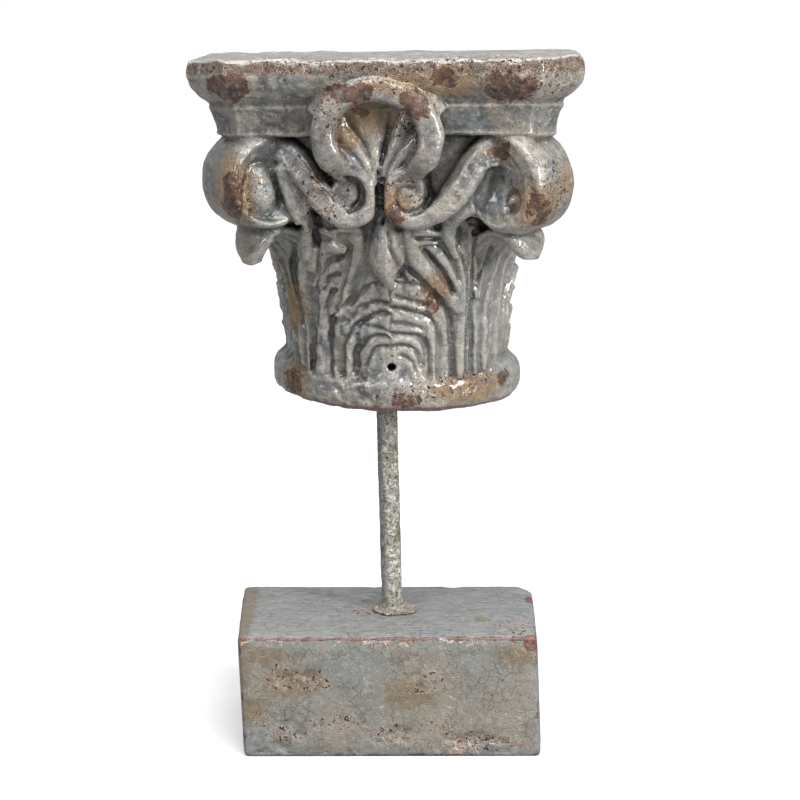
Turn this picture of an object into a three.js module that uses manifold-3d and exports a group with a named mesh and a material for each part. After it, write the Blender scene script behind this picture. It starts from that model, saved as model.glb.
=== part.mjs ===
import * as THREE from 'three';
import { ParametricGeometry } from 'three/addons/geometries/ParametricGeometry.js';
import { mergeVertices } from 'three/addons/utils/BufferGeometryUtils.js';
import Module from 'manifold-3d';

// A half-round Corinthian capital of glazed terracotta with a flat back, carried by a metal
// rod that is grouted into a glazed terracotta block. Millimetres, +Z up, front towards -Y,
// origin in the middle of the block's underside.

const wasm = await Module();
wasm.setup();

// Clearance kept between neighbouring pieces
const gap = 0.3;

// Base block, a cuboid with worn edges and one chipped corner, a little wider at the rear
const blockWidth = 176;
const blockRearFlare = 3.7;
const blockDepth = 98;
const blockHeight = 75;
const blockCornerRadius = 3;
const blockTopWear = 1.2;
const blockFootWear = 2.5;
const blockChip = 7;
const blockBatter = 0.3;
const blockSkew = 0.042;
const blockPivot = 50;

// Rod, leaning a little to the left, seated in a blind socket at each end
const rodRadius = 6.35;
const rodChamfer = 0.8;
const rodShown = 129.4;
const rodInBlock = 45;
const rodInCapital = 60;
const rodFootX = 2;
const socketOverrun = 20;
const rodLean = THREE.MathUtils.degToRad(1.5);

// Ring of grout round the rod's foot
const collarRadius = 14;
const collarHeight = 3.4;

// Capital as a whole, in its own frame: axis in the flat back, front towards -Y. It stands
// upright on the leaning rod, turned a little. The moulding is warped: it leans to the left, and
// its foot and its top slope opposite ways.
const capitalHeight = 202;
const capitalTurn = THREE.MathUtils.degToRad(-2.3);
const capitalShift = 6.5;
const mouldSkew = 0.0175;
const footSlope = -0.014;
const topSlope = 0.013;
const backPlane = 45;
const ringRadius = 76;
const ringFoot = -1.6;
const ringHeight = 22.5;
const bellRadius = 64.5;
const bellFlare = 17;

// Abacus, the moulded slab on top
const abacusHeight = 42.5;
const abacusHalfWidth = 109.3;
const abacusDepth = 116;
const cornerCut = 23;

// Corner volutes, turned 45 degrees to the front
const voluteRadius = 26.6;
const voluteThickness = 40;
const voluteX = 74.5;
const voluteY = 82;
const voluteZ = 132.5;
const voluteBand = 7;
const voluteEye = 4.4;
const voluteLift = 0.13;

// Inner helices, side by side and a little left of the middle
const ornamentShift = -3.6;
const helixRadius = 14.6;
const helixX = 16.3;
const helixZ = 130.5;
const helixFront = 106;
const helixBand = 6.2;
const helixEye = 3;

// Horseshoe band and the palmette inside it
const horseshoeHalfWidth = 29.3;
const horseshoeSpring = 160;
const horseshoeTop = 185.8;
const horseshoeBand = 13.4;
const horseshoeFront = 120;
const horseshoeFoot = 20;
const palmetteZ = 136;
const palmetteFront = 104;

// Leaves
const leafRadius = 72;
const leafHalfWidth = 34;
const leafTop = 77;
const leafArches = 6;
const sideLeafHalfWidth = 30;
const sideLeafTop = 78;
const sideLeafArches = 3;
const sideLeafDrop = 1.6;
const cornerLeafTilt = 2.4;
const ribHeight = 2.6;
const drillRadius = 2.7;
const drillZ = 25.3;
const drillDepth = 12;

// A closed loft through rings with the same number of points, pinched shut at both ends
function loft(rings) {
  const sides = rings[0].length;
  const middle = (ring) => ring.reduce((sum, p) => sum.add(p), new THREE.Vector3()).divideScalar(sides);
  const first = middle(rings[0]);
  const last = middle(rings[rings.length - 1]);
  const surface = (u, v, target) => {
    const row = Math.round(v * (rings.length + 1)) - 1;
    if (row < 0) target.copy(first);
    else if (row >= rings.length) target.copy(last);
    else target.copy(rings[row][Math.round(u * sides) % sides]);
  };
  return new ParametricGeometry(surface, sides, rings.length + 1);
}

// A ring of points on an ellipse: two half sizes along two directions
function ellipse(centre, across, out, halfAcross, halfOut, sides) {
  const ring = [];
  for (let i = 0; i < sides; i += 1) {
    const angle = ((i + 0.5) / sides) * Math.PI * 2;
    const point = centre.clone().addScaledVector(across, Math.cos(angle) * halfAcross);
    ring.push(point.addScaledVector(out, Math.sin(angle) * halfOut));
  }
  return ring;
}

// A round ring about a centre, in the plane of two directions
function circle(centre, across, out, radius, sides) {
  return ellipse(centre, across, out, radius, radius, sides);
}

// A flat spiral about a centre that winds in from one radius to another
function spiral(centre, across, up, start, turns, outer, inner) {
  const points = [];
  const stops = 16;
  for (let i = 0; i <= stops; i += 1) {
    const share = i / stops;
    const angle = start - share * turns * Math.PI * 2;
    const radius = outer + (inner - outer) * share;
    const point = centre.clone().addScaledVector(across, Math.cos(angle) * radius);
    points.push(point.addScaledVector(up, Math.sin(angle) * radius));
  }
  return points;
}

// A rib along a smooth curve: a ridge whose walls run down into the mass behind it, thinning
// towards its ends
function rib(points, radius, { steps, taper, out = null, root = radius }) {
  const curve = new THREE.CatmullRomCurve3(points, false, 'centripetal');
  const rings = [];
  for (let i = 0; i <= steps; i += 1) {
    const t = i / steps;
    const centre = curve.getPointAt(t);
    const tangent = curve.getTangentAt(t);
    const facing = (out || new THREE.Vector3(centre.x, centre.y, 0).normalize()).clone();
    facing.addScaledVector(tangent, -facing.dot(tangent)).normalize();
    const across = new THREE.Vector3().crossVectors(tangent, facing);
    const swell = Math.sin(Math.PI * t) ** 0.5;
    const ends = taper[0] * (1 - t) + taper[1] * t;
    const size = ends + (1 - ends) * swell;
    const half = radius * size;
    const section = [[-1.05, -root], [-1, 0.1 * half], [0, half], [1, 0.1 * half], [1.05, -root]];
    const spot = ([a, b]) => centre.clone().addScaledVector(across, a * half).addScaledVector(facing, b);
    rings.push(section.map(spot));
  }
  return loft(rings);
}

// A band along a smooth curve: rounded in section, a little narrower at its ends
function band(points, halfWidth, halfDepth, steps, ends) {
  const curve = new THREE.CatmullRomCurve3(points, false, 'centripetal');
  const front = new THREE.Vector3(0, -1, 0);
  const rings = [];
  for (let i = 0; i <= steps; i += 1) {
    const t = i / steps;
    const across = new THREE.Vector3().crossVectors(curve.getTangentAt(t), front).normalize();
    const size = ends + (1 - ends) * Math.sin(Math.PI * t) ** 0.5;
    rings.push(ellipse(curve.getPointAt(t), across, front, halfWidth * size, halfDepth, 8));
  }
  return loft(rings);
}

// A closed solid from a geometry whose seams are merged, with its faces pointing out
function solid(geometry) {
  const bare = geometry.index ? geometry.clone() : geometry;
  bare.deleteAttribute('normal');
  bare.deleteAttribute('uv');
  const merged = mergeVertices(bare, 1e-4);
  const spots = merged.getAttribute('position').array;
  const index = merged.index.array;
  const faces = [];
  let volume = 0;
  const corner = [new THREE.Vector3(), new THREE.Vector3(), new THREE.Vector3()];
  for (let i = 0; i < index.length; i += 3) {
    const [a, b, c] = [index[i], index[i + 1], index[i + 2]];
    if (a === b || b === c || c === a) continue;
    faces.push([a, b, c]);
    corner.forEach((p, k) => p.fromArray(spots, [a, b, c][k] * 3));
    volume += corner[0].dot(corner[1].clone().cross(corner[2]));
  }
  const triVerts = new Uint32Array(faces.flatMap(([a, b, c]) => (volume > 0 ? [a, b, c] : [a, c, b])));
  return new wasm.Manifold(new wasm.Mesh({ numProp: 3, vertProperties: new Float32Array(spots), triVerts }));
}

// Flat-shaded geometry of a finished solid
function geometryOf(body) {
  const mesh = body.getMesh();
  const geometry = new THREE.BufferGeometry();
  geometry.setAttribute('position', new THREE.BufferAttribute(new Float32Array(mesh.vertProperties), 3));
  geometry.setIndex(new THREE.BufferAttribute(new Uint32Array(mesh.triVerts), 1));
  return geometry;
}

// A point of the capital's front given by its width from the middle, its height and its radius
function onBell(x, z, radius) {
  return new THREE.Vector3(x, -Math.sqrt(radius * radius - x * x), z);
}

// A turned body about +Z from a profile of [radius, height] pairs that starts and ends on the axis
function turned(profile, segments) {
  const points = profile.map(([radius, height]) => new THREE.Vector2(radius, height));
  return new THREE.LatheGeometry(points, segments).rotateX(Math.PI / 2);
}

// The plan of the abacus drawn in by an inset: a slab with two cut front corners
function abacusRing(inset, z) {
  const w = abacusHalfWidth - inset;
  const d = abacusDepth - inset;
  const cut = cornerCut - inset * (2 - Math.SQRT2);
  const overrun = 4;
  const plan = [[-w, overrun], [-w, cut - d], [cut - w, -d], [w - cut, -d], [w, cut - d], [w, overrun]];
  return plan.map(([x, y]) => new THREE.Vector3(x, y, z));
}

// Bulging face, groove, fillet, hollow and lower bead of the abacus, as [inset, depth below the top]
function abacus() {
  const profile = [
    [16.6, abacusHeight], [15.2, 41], [15.8, 38.6], [14.2, 32], [11.4, 27], [10.4, 25.8],
    [12, 24.6], [11, 23.6], [9.4, 22.4], [5.6, 19.4], [1.6, 14.5], [0, 9], [0.4, 4], [1.8, 0],
  ];
  return loft(profile.map(([inset, down]) => abacusRing(inset, capitalHeight - down)));
}

// Ring and flaring bell in one turned core
function core() {
  const under = capitalHeight - abacusHeight;
  const profile = [
    [0, ringFoot], [ringRadius - 5.5, ringFoot], [ringRadius - 1.8, 0.5], [ringRadius, 5], [ringRadius, 14],
    [ringRadius - 2.4, 19], [ringRadius - 6, ringHeight],
    [bellRadius, ringHeight + 1], [bellRadius + bellFlare * 0.1, 62], [bellRadius + bellFlare * 0.38, 85],
    [bellRadius + bellFlare * 0.55, 112], [bellRadius + bellFlare, under], [bellRadius + bellFlare, under + 12],
    [0, under + 12],
  ];
  return turned(profile, 32);
}

// A lower leaf made of nested arches: each ring of the loft is one arch that rises from the
// ring, turns over the middle and comes down, in turn a crest and a groove
function archedLeaf(halfWidth, top, count, turn, drop) {
  const foot = ringHeight - 5;
  const stops = 12;
  const arch = (share, crest, ground = leafRadius - drop) => {
    const ring = [];
    const reach = halfWidth * (0.1 + 0.9 * share);
    const rise = (top - foot) * (0.16 + 0.84 * share);
    for (let i = 0; i <= stops; i += 1) {
      const angle = Math.PI * (1 - i / stops);
      const x = reach * Math.sign(Math.cos(angle)) * Math.abs(Math.cos(angle)) ** 0.75;
      const lift = rise * Math.sin(angle) ** 0.75;
      const swell = 6.5 * Math.max(0, lift / (top - foot) - 0.3) ** 1.2;
      const out = ground + swell + crest * Math.min(1, lift / (ringHeight - foot + 2));
      const around = x / leafRadius + turn;
      ring.push(new THREE.Vector3(Math.sin(around) * out, -Math.cos(around) * out, foot + lift));
    }
    return ring;
  };
  const rings = [];
  for (let k = 0; k < count; k += 1) {
    rings.push(arch((k + 0.05) / count, -0.4));
    rings.push(arch((k + 0.45) / count, ribHeight));
  }
  rings.push(arch(1, -1.5));
  rings.push(arch(1, 0, bellRadius - 8));
  return loft(rings);
}

// Volute at one corner: a barrel that rises to meet the abacus, with dished faces, an eye on each
// and a spiral band on the front one
function volute(side) {
  const diagonal = new THREE.Vector3(side, -1, 0).normalize();
  const normal = new THREE.Vector3(-side, -1, 0).normalize();
  const up = new THREE.Vector3(0, 0, 1);
  const centre = new THREE.Vector3(side * voluteX, -voluteY, voluteZ);
  const half = voluteThickness / 2;
  const along = (share) => centre.clone().addScaledVector(normal, half * share);
  const halfBarrel = [[0.76, 0.85], [0.82, 1], [0.9, 0.95], [0.98, 0.6]];
  const barrel = [...halfBarrel, [1, 0], ...halfBarrel.toReversed().map(([size, share]) => [size, -share])];
  const rings = barrel.map(([size, share]) => circle(along(share), diagonal, up, voluteRadius * size, 18));
  for (const point of rings.flat()) point.z += Math.max(0, point.z - voluteZ) * voluteLift;
  const start = Math.PI * 0.8;
  const curl = spiral(along(0.87), diagonal, up, start, 1.4, voluteRadius * 0.78, voluteRadius * 0.33);
  const ridge = rib(curl, voluteBand / 2, { steps: 16, taper: [0.8, 0.6], out: normal });
  const eye = (share) => new THREE.SphereGeometry(voluteEye, 6, 4).translate(...along(share));
  return [loft(rings), ridge, eye(0.82), eye(-0.82)];
}

// Inner helix: a drum facing the front with a dished face, a spiral band and an eye
function helix(side) {
  const up = new THREE.Vector3(0, 0, 1);
  const across = new THREE.Vector3(side, 0, 0);
  const front = new THREE.Vector3(0, -1, 0);
  const at = (behind) => new THREE.Vector3(side * helixX + ornamentShift, behind - helixFront, helixZ);
  const drum = [[0.94, 46], [0.97, 9], [0.99, 4], [0.9, 0.6], [0.76, 0.3], [0.66, 4]];
  const rings = drum.map(([size, behind]) => circle(at(behind), across, up, helixRadius * size, 14));
  const curl = spiral(at(2.6), across, up, -Math.PI / 2, 1.1, helixRadius * 0.72, helixRadius * 0.3);
  const eye = new THREE.SphereGeometry(helixEye, 6, 4).translate(...at(4));
  return [loft(rings), rib(curl, helixBand / 2, { steps: 13, taper: [0.8, 0.5], out: front }), eye];
}

// Band that sweeps from the top of a volute down to the helix, deep enough to meet the bell:
// each stop is [width from middle, front, height]
function scrollBand(side) {
  const halfWidth = 6.4;
  const halfDepth = 15;
  const stops = [
    [64, 92, 156], [54, 97, 155], [45, 101, 147], [36.5, 103, 131.5], [28, 103, 119], [16, 103, 115.5],
  ];
  const path = stops.map(([x, front, z], i) => {
    const drift = (ornamentShift * i) / (stops.length - 1);
    return new THREE.Vector3(side * x + drift, halfDepth - front, z);
  });
  return band(path, halfWidth, halfDepth, 10, 0.85);
}

// Plain stem on the hidden side of each volute, running down into the bell: each stop is
// [width from middle, front, height]
function sideStem(side) {
  const stops = [[82, 70, 152], [79, 54, 140], [73, 42, 120], [67, 36, 96], [61, 32, 72]];
  const path = stops.map(([x, front, z]) => new THREE.Vector3(side * x, -front, z));
  return rib(path, 6.5, { steps: 5, taper: [0.9, 0.5], root: 12 });
}

// Horseshoe band over the front of the abacus, with the block of clay behind it
function horseshoe() {
  const halfDepth = 9;
  const leg = new THREE.Vector3(horseshoeFoot, 2 * halfDepth - horseshoeFront, 140);
  const sweep = 1.24;
  const stops = 12;
  const points = [new THREE.Vector3(ornamentShift - leg.x, leg.y, leg.z)];
  for (let i = 0; i <= stops; i += 1) {
    const angle = Math.PI * (0.5 + sweep * (0.5 - i / stops));
    const x = ornamentShift + horseshoeHalfWidth * Math.cos(angle);
    const z = horseshoeSpring + (horseshoeTop - horseshoeSpring) * Math.sin(angle);
    points.push(new THREE.Vector3(x, halfDepth - horseshoeFront, z));
  }
  points.push(new THREE.Vector3(ornamentShift + leg.x, leg.y, leg.z));
  const arch = band(points, horseshoeBand / 2, halfDepth, 18, 0.85);
  const outline = [[120, 8], [132, 14], [146, 24], [158, 28], [172, 27], [183, 17], [189, 8]];
  const back = -58;
  const front = 3 - palmetteFront;
  const plate = loft(outline.map(([z, w]) => [[-w, back], [-w, front], [w, front], [w, back]]
    .map(([x, y]) => new THREE.Vector3(x + ornamentShift, y, z))));
  return [arch, plate];
}

// Palmette: petals fanning from one point, widest near their tips, as [tilt, length, half width]
function palmette() {
  const petals = [[0, 41, 8.6], [-31, 37, 7], [31, 37, 7], [-62, 28, 6], [62, 28, 6]];
  return petals.map(([tilt, length, width]) => {
    const angle = THREE.MathUtils.degToRad(tilt);
    const along = new THREE.Vector3(Math.sin(angle), 0, Math.cos(angle));
    const across = new THREE.Vector3(Math.cos(angle), 0, -Math.sin(angle));
    const front = new THREE.Vector3(0, -1, 0);
    const root = new THREE.Vector3(ornamentShift, 2 - palmetteFront, palmetteZ);
    const swell = [[0.02, 0.2], [0.3, 0.5], [0.6, 0.85], [0.8, 1], [0.93, 0.75], [1, 0.2]];
    return loft(swell.map(([share, size]) => {
      const centre = root.clone().addScaledVector(along, length * share);
      return ellipse(centre, across, front, width * size, 2 + 3.5 * size, 6);
    }));
  });
}

// Bud hanging under the helices, flared and then pointed, as [height, half width, front]
function bud() {
  const shape = [[118, 7, 92], [107, 7.8, 93], [96, 9.8, 93], [86, 10.2, 91], [79.5, 6.4, 87], [75, 1.6, 82]];
  const across = new THREE.Vector3(1, 0, 0);
  const front = new THREE.Vector3(0, -1, 0);
  const root = bellRadius - 8;
  return loft(shape.map(([z, halfWidth, reach]) => {
    const centre = new THREE.Vector3(0, -(reach + root) / 2, z);
    return ellipse(centre, across, front, halfWidth, (reach - root) / 2, 10);
  }));
}

// Stalks and leaf lobes on one side of the front: each path is [width from middle, height, radius]
function foliage(side) {
  const stalk = [
    [39.4, 20, 72], [40.5, 45, 72.5], [40.8, 62, 74], [38.1, 83, 77], [33.5, 99, 82], [34.5, 111, 87],
    [42, 119, 93], [51, 121, 97],
  ];
  const innerLobe = [
    [30, 56, 73], [29.7, 68, 75], [25, 79, 78], [17.5, 87, 81], [13.5, 94, 84], [15, 102, 88], [22, 104, 89],
  ];
  const outerLobe = [[37, 60, 74], [37.4, 68, 75], [32, 81, 79], [22, 95, 86]];
  const calyx = [[46.5, 24, 71], [47, 52, 72], [47.6, 68, 74], [47, 85, 79], [42.8, 98, 85], [44, 108, 90]];
  const outerCalyx = [[53, 58, 73], [54.5, 78, 77], [52.5, 95, 86], [54, 106, 94]];
  const strips = [
    { path: stalk, width: 8.6, steps: 11 },
    { path: innerLobe, width: 7.8, steps: 9 },
    { path: outerLobe, width: 7.4, steps: 6 },
    { path: calyx, width: 6.8, steps: 8 },
    { path: outerCalyx, width: 6.4, steps: 6 },
  ];
  return strips.map(({ path, width, steps }) => {
    const points = path.map(([x, z, radius]) => onBell(side * x, z, radius));
    return rib(points, width / 2, { steps, taper: [0.75, 0.55], root: 16 });
  });
}

// Corner leaf: climbs the bell on the diagonal, leans out under the volute and droops to a tip.
// The spine is [reach from the axis, height, half width], the flutes are [share across, relief].
function cornerLeaf(side) {
  const diagonal = new THREE.Vector3(side, -1, 0).normalize();
  const across = new THREE.Vector3(-side, -1, 0).normalize();
  const spine = [
    [69, 17, 14], [70, 45, 16], [71.5, 66, 18], [76, 84, 20], [86, 100, 20], [99, 107, 18], [108, 104, 14],
    [112, 95 + (side * cornerLeafTilt) / 2, 8], [112.5, 87 + side * cornerLeafTilt, 2],
  ];
  const halfFlutes = [[0.85, -9], [1, -1], [0.8, 2], [0.55, 0.6], [0.3, 3.6]];
  const otherHalf = halfFlutes.map(([share, relief]) => [-share, relief]);
  const flutes = [...otherHalf, [0, 2.2], ...halfFlutes.toReversed()];
  const points = spine.map(([reach, z]) => diagonal.clone().multiplyScalar(reach).setZ(z));
  return loft(spine.map(([, , half], i) => {
    const ahead = points[Math.min(i + 1, points.length - 1)];
    const behind = points[Math.max(i - 1, 0)];
    const tangent = ahead.clone().sub(behind).normalize();
    const out = new THREE.Vector3().crossVectors(tangent, across).multiplyScalar(side);
    const thin = 1 - 0.07 * i;
    const spot = ([a, b]) => points[i].clone().addScaledVector(across, a * half).addScaledVector(out, b);
    return flutes.map(([a, b]) => spot([a, b * thin]));
  }));
}

// The warp of the moulding, point by point
function warped(geometry) {
  const spots = geometry.getAttribute('position');
  for (let i = 0; i < spots.count; i += 1) {
    const x = spots.getX(i);
    const z = spots.getZ(i);
    const slope = footSlope + (topSlope - footSlope) * (z / capitalHeight) ** 2;
    spots.setX(i, x - mouldSkew * z);
    spots.setZ(i, z + slope * x);
  }
  return geometry;
}

// The capital: everything joined, cut flat at the back, drilled at the front and socketed below
function capital(socket) {
  const frontLeaf = archedLeaf(leafHalfWidth, leafTop, leafArches, 0, 0);
  const forms = [core(), abacus(), frontLeaf, ...horseshoe(), ...palmette(), bud()];
  for (const side of [-1, 1]) {
    const quarter = (side * Math.PI) / 2;
    forms.push(...volute(side), ...helix(side), scrollBand(side), sideStem(side));
    forms.push(...foliage(side), cornerLeaf(side));
    forms.push(archedLeaf(sideLeafHalfWidth, sideLeafTop, sideLeafArches, quarter, sideLeafDrop));
  }
  const whole = forms.map((form) => solid(warped(form))).reduce((a, b) => a.add(b));
  const room = 3 * capitalHeight;
  const behind = new THREE.BoxGeometry(room, room, room).translate(0, room / 2, 0);
  const drill = new THREE.CylinderGeometry(drillRadius, drillRadius, drillDepth * 2, 10);
  drill.translate(0, -leafRadius, drillZ);
  return whole.subtract(solid(behind)).subtract(solid(drill)).subtract(solid(socket));
}

// One level of the block: a rectangle with rounded corners, drawn in by an inset
function blockRing(z, inset) {
  const ring = [];
  const grow = blockBatter * (1 - z / blockHeight);
  const drift = blockSkew * (blockPivot - z);
  const round = blockCornerRadius - inset;
  const halfWidth = blockWidth / 2 + grow - blockCornerRadius;
  const halfDepth = blockDepth / 2 - blockCornerRadius;
  const corners = [[1, 1], [-1, 1], [-1, -1], [1, -1]];
  corners.forEach(([sx, sy], quarter) => {
    const flare = sy > 0 ? blockRearFlare : 0;
    for (let i = 0; i <= 3; i += 1) {
      const angle = (quarter + i / 3) * (Math.PI / 2);
      const x = drift + sx * (halfWidth + flare) + Math.cos(angle) * round;
      const y = sy * halfDepth + Math.sin(angle) * round;
      ring.push(new THREE.Vector3(x, y, z));
    }
  });
  return ring;
}

// The block: worn arrises, a chip off the rear right corner and the rod's leaning socket
function block() {
  const levels = [
    [0, blockFootWear], [0.8, 1], [blockFootWear, 0], [blockHeight - blockTopWear, 0],
    [blockHeight, blockTopWear],
  ];
  const body = solid(loft(levels.map(([z, inset]) => blockRing(z, inset))));
  const corner = new THREE.Vector3(blockWidth / 2 + blockRearFlare, blockDepth / 2, blockHeight);
  const outward = new THREE.Vector3(1, 0.8, 0.9).normalize();
  const chipSize = 40;
  const chip = new THREE.BoxGeometry(chipSize, chipSize, chipSize);
  chip.applyQuaternion(new THREE.Quaternion().setFromUnitVectors(new THREE.Vector3(0, 0, 1), outward));
  chip.translate(...corner.addScaledVector(outward, chipSize / 2 - blockChip));
  const socket = rodSocket(-rodInBlock - gap, socketOverrun);
  socket.rotateY(-rodLean).translate(rodFootX, 0, blockHeight);
  return body.subtract(solid(chip)).subtract(solid(socket));
}

// The hole that takes the rod, between two heights on the rod's own line
function rodSocket(low, high) {
  const radius = rodRadius + gap;
  const hole = new THREE.CylinderGeometry(radius, radius, high - low, 28).rotateX(Math.PI / 2);
  return hole.translate(0, 0, (low + high) / 2);
}

// The grout ring: an uneven bead pressed round the rod
function collar() {
  const sides = 24;
  const inner = rodRadius + gap;
  const section = [[0, 0], [1, 0], [1.02, 0.3], [0.86, 0.8], [0.5, 1], [0, 1.06]];
  const surface = (u, v, target) => {
    const angle = (Math.round(u * sides) % sides) * ((Math.PI * 2) / sides);
    const [share, rise] = section[Math.round(v * section.length) % section.length];
    const width = collarRadius - inner + 0.9 * Math.sin(3 * angle + 1) + 0.6 * Math.sin(5 * angle);
    const height = collarHeight + 0.5 * Math.sin(2 * angle + 0.6) + 0.4 * Math.sin(7 * angle);
    const radius = inner + width * share;
    target.set(Math.cos(angle) * radius, Math.sin(angle) * radius, gap + height * rise);
  };
  return solid(new ParametricGeometry(surface, sides, section.length));
}

function piece(name, geometry, color, roughness, metalness) {
  const material = new THREE.MeshStandardMaterial({ color, roughness, metalness, flatShading: true });
  const mesh = new THREE.Mesh(geometry, material);
  mesh.name = name;
  return mesh;
}

const object = new THREE.Group();
object.add(piece('base_block', geometryOf(block()), 0x96928b, 0.4, 0));

const grout = piece('grout_collar', geometryOf(collar()), 0xc9c2b4, 0.9, 0);
grout.position.set(rodFootX, 0, blockHeight);
object.add(grout);

const upright = new THREE.Group();
upright.position.set(rodFootX, 0, blockHeight);
upright.rotation.y = -rodLean;
object.add(upright);

const rodTop = rodShown + rodInCapital;
const rodEnd = rodRadius - rodChamfer;
const rodProfile = [
  [0, -rodInBlock], [rodEnd, -rodInBlock], [rodRadius, rodChamfer - rodInBlock],
  [rodRadius, rodTop - rodChamfer], [rodEnd, rodTop], [0, rodTop],
];
upright.add(piece('rod', geometryOf(solid(turned(rodProfile, 28))), 0xa39e95, 0.7, 0.6));

const seat = new THREE.Group();
seat.position.set(capitalShift, backPlane, rodShown - ringFoot);
seat.rotation.set(0, rodLean, capitalTurn);
upright.add(seat);

// The rod's socket in the capital's own frame
seat.updateMatrix();
const socket = rodSocket(rodShown - socketOverrun, rodTop + gap);
socket.applyMatrix4(seat.matrix.clone().invert());
seat.add(piece('capital', geometryOf(capital(socket)), 0x83837f, 0.35, 0));

export default object;
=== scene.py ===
import bpy
import bmesh
import math
from mathutils import Matrix, Vector, noise
from mathutils.bvhtree import BVHTree
from mathutils.kdtree import KDTree


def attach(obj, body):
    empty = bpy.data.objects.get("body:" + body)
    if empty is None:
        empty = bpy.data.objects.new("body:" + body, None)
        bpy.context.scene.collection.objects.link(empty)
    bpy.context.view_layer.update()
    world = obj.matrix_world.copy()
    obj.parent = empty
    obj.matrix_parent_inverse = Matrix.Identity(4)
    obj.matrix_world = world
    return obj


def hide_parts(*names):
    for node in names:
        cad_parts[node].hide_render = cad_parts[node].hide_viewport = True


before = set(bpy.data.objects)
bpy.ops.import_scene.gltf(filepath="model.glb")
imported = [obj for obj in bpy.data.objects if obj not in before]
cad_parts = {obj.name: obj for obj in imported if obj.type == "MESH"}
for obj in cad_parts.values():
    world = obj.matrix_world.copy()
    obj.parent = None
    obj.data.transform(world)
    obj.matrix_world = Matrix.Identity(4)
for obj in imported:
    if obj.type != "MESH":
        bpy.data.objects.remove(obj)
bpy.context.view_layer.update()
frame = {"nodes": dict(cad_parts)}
scene = bpy.context.scene
print("frame loaded:", ", ".join(frame["nodes"]))

up = Vector((0, 0, 1))
front = Vector((0, -1, 0))
sideways = Vector((1, 0, 0))
toMetres = 0.001  # the sizes below are in mm
toMm = 1000


def smoothStep(low, high, value):
    t = min(1.0, max(0.0, (value - low) / (high - low)))
    return t * t * (3 - 2 * t)


def smoothPath(stops, count):  # even steps along a soft curve through the stops
    rows = [stops[0], *stops, stops[-1]]
    found = []
    for i in range(count + 1):
        t = i / count * (len(stops) - 1)
        k = min(int(t), len(stops) - 2)
        u = t - k
        found.append([q + 0.5 * u * (r - p + u * (2 * p - 5 * q + 4 * r - s + u * (3 * (q - r) + s - p)))
                      for p, q, r, s in zip(*rows[k:k + 4])])
    return found


def uneven(spot, size, rough=2):  # layered noise about zero, features as large as size in mm
    total = 0
    for k in range(rough):
        total += noise.noise(spot * (2.1 ** k / size) + Vector((9.7 * k, 3.1, 5.3))) / 1.8 ** k
    return total


def ringAt(bm, centre, wideWay, deepWay, halfWide, halfDeep, sides, cap=False, square=1.0):
    made = bmesh.ops.create_circle(bm, cap_ends=cap, segments=sides, radius=1)["verts"]
    turn = Matrix((wideWay * halfWide, deepWay * halfDeep, wideWay.cross(deepWay))).transposed()
    for vert in made:
        x, y = (math.copysign(abs(v) ** square, v) for v in vert.co.xy)
        vert.co = turn @ Vector((x, y, 0)) + centre
    return made


def ringEdges(ring):
    found = [edge for vert in ring for edge in vert.link_edges if edge.other_vert(vert) in ring]
    return list(dict.fromkeys(found))  # each edge once, always in the same order


def skin(bm, rings):  # bridges each ring to the next one
    edges = [ringEdges(ring) for ring in rings]
    for first, second in zip(edges, edges[1:]):
        bmesh.ops.bridge_loops(bm, edges=first + second)


def ribbon(bm, stops, steps, sides, facing=None, square=1.0):
    # a stop is x, y, z, half width, half depth; it faces one way or away from the axis
    path = smoothPath(stops, steps)
    spots = [Vector(row[:3]) for row in path]
    rings = []
    for i, row in enumerate(path):
        tangent = (spots[min(i + 1, steps)] - spots[max(i - 1, 0)]).normalized()
        out = Vector(facing) if facing else Vector((spots[i].x, spots[i].y, 0))
        out = (out - tangent * out.dot(tangent)).normalized()
        cap = i in (0, steps)
        rings.append(ringAt(bm, spots[i], tangent.cross(out), out, row[3], row[4], sides, cap, square))
    skin(bm, rings)


def leafReach(z):  # how far the bell's foliage stands from the axis
    return 71 + 0.0018 * max(0, z - 20) ** 2


def ribbonOnBell(bm, stops, half, deep, steps, ends, crest, lift=0):
    # a stop is width from the middle and height; the ends' sizes differ, the crest is over the bell
    last = len(stops) - 1
    path = []
    for i, (x, z) in enumerate(stops):
        t = i / last
        size = ends[0] * (1 - t) + ends[1] * t
        size += (1 - size) * math.sin(math.pi * t) ** 0.5
        radius = leafReach(z) + lift
        pull = 1 + (crest - deep) / radius
        path.append((pull * x, -pull * math.sqrt(radius * radius - x * x), z, half * size, deep))
    ribbon(bm, path, steps, 14, None, 0.85)


def soften(bm, verts):
    bmesh.ops.smooth_vert(bm, verts=verts, factor=0.5, use_axis_x=True, use_axis_y=True, use_axis_z=True)


def sliceFlat(bm, place, normal):  # takes off what lies beyond a plane and closes the cut
    everything = bm.verts[:] + bm.edges[:] + bm.faces[:]
    cut = bmesh.ops.bisect_plane(bm, geom=everything, plane_co=place, plane_no=normal, clear_outer=True)
    bmesh.ops.holes_fill(bm, edges=[e for e in cut["geom_cut"] if isinstance(e, bmesh.types.BMEdge)])


def newPiece(bm, name, node):
    mesh = bpy.data.meshes.new(name)
    bm.to_mesh(mesh)
    bm.free()
    piece = bpy.data.objects.new(name, mesh)
    scene.collection.objects.link(piece)
    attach(piece, "root")
    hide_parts(node)
    return piece


def openMesh(piece):
    bm = bmesh.new()
    bm.from_mesh(piece.data)
    bm.normal_update()
    return bm


def applyModifiers(piece):
    bpy.context.view_layer.update()
    whole = bpy.data.meshes.new_from_object(piece.evaluated_get(bpy.context.evaluated_depsgraph_get()))
    old = piece.data
    piece.modifiers.clear()
    piece.data = whole
    bpy.data.meshes.remove(old)


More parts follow.
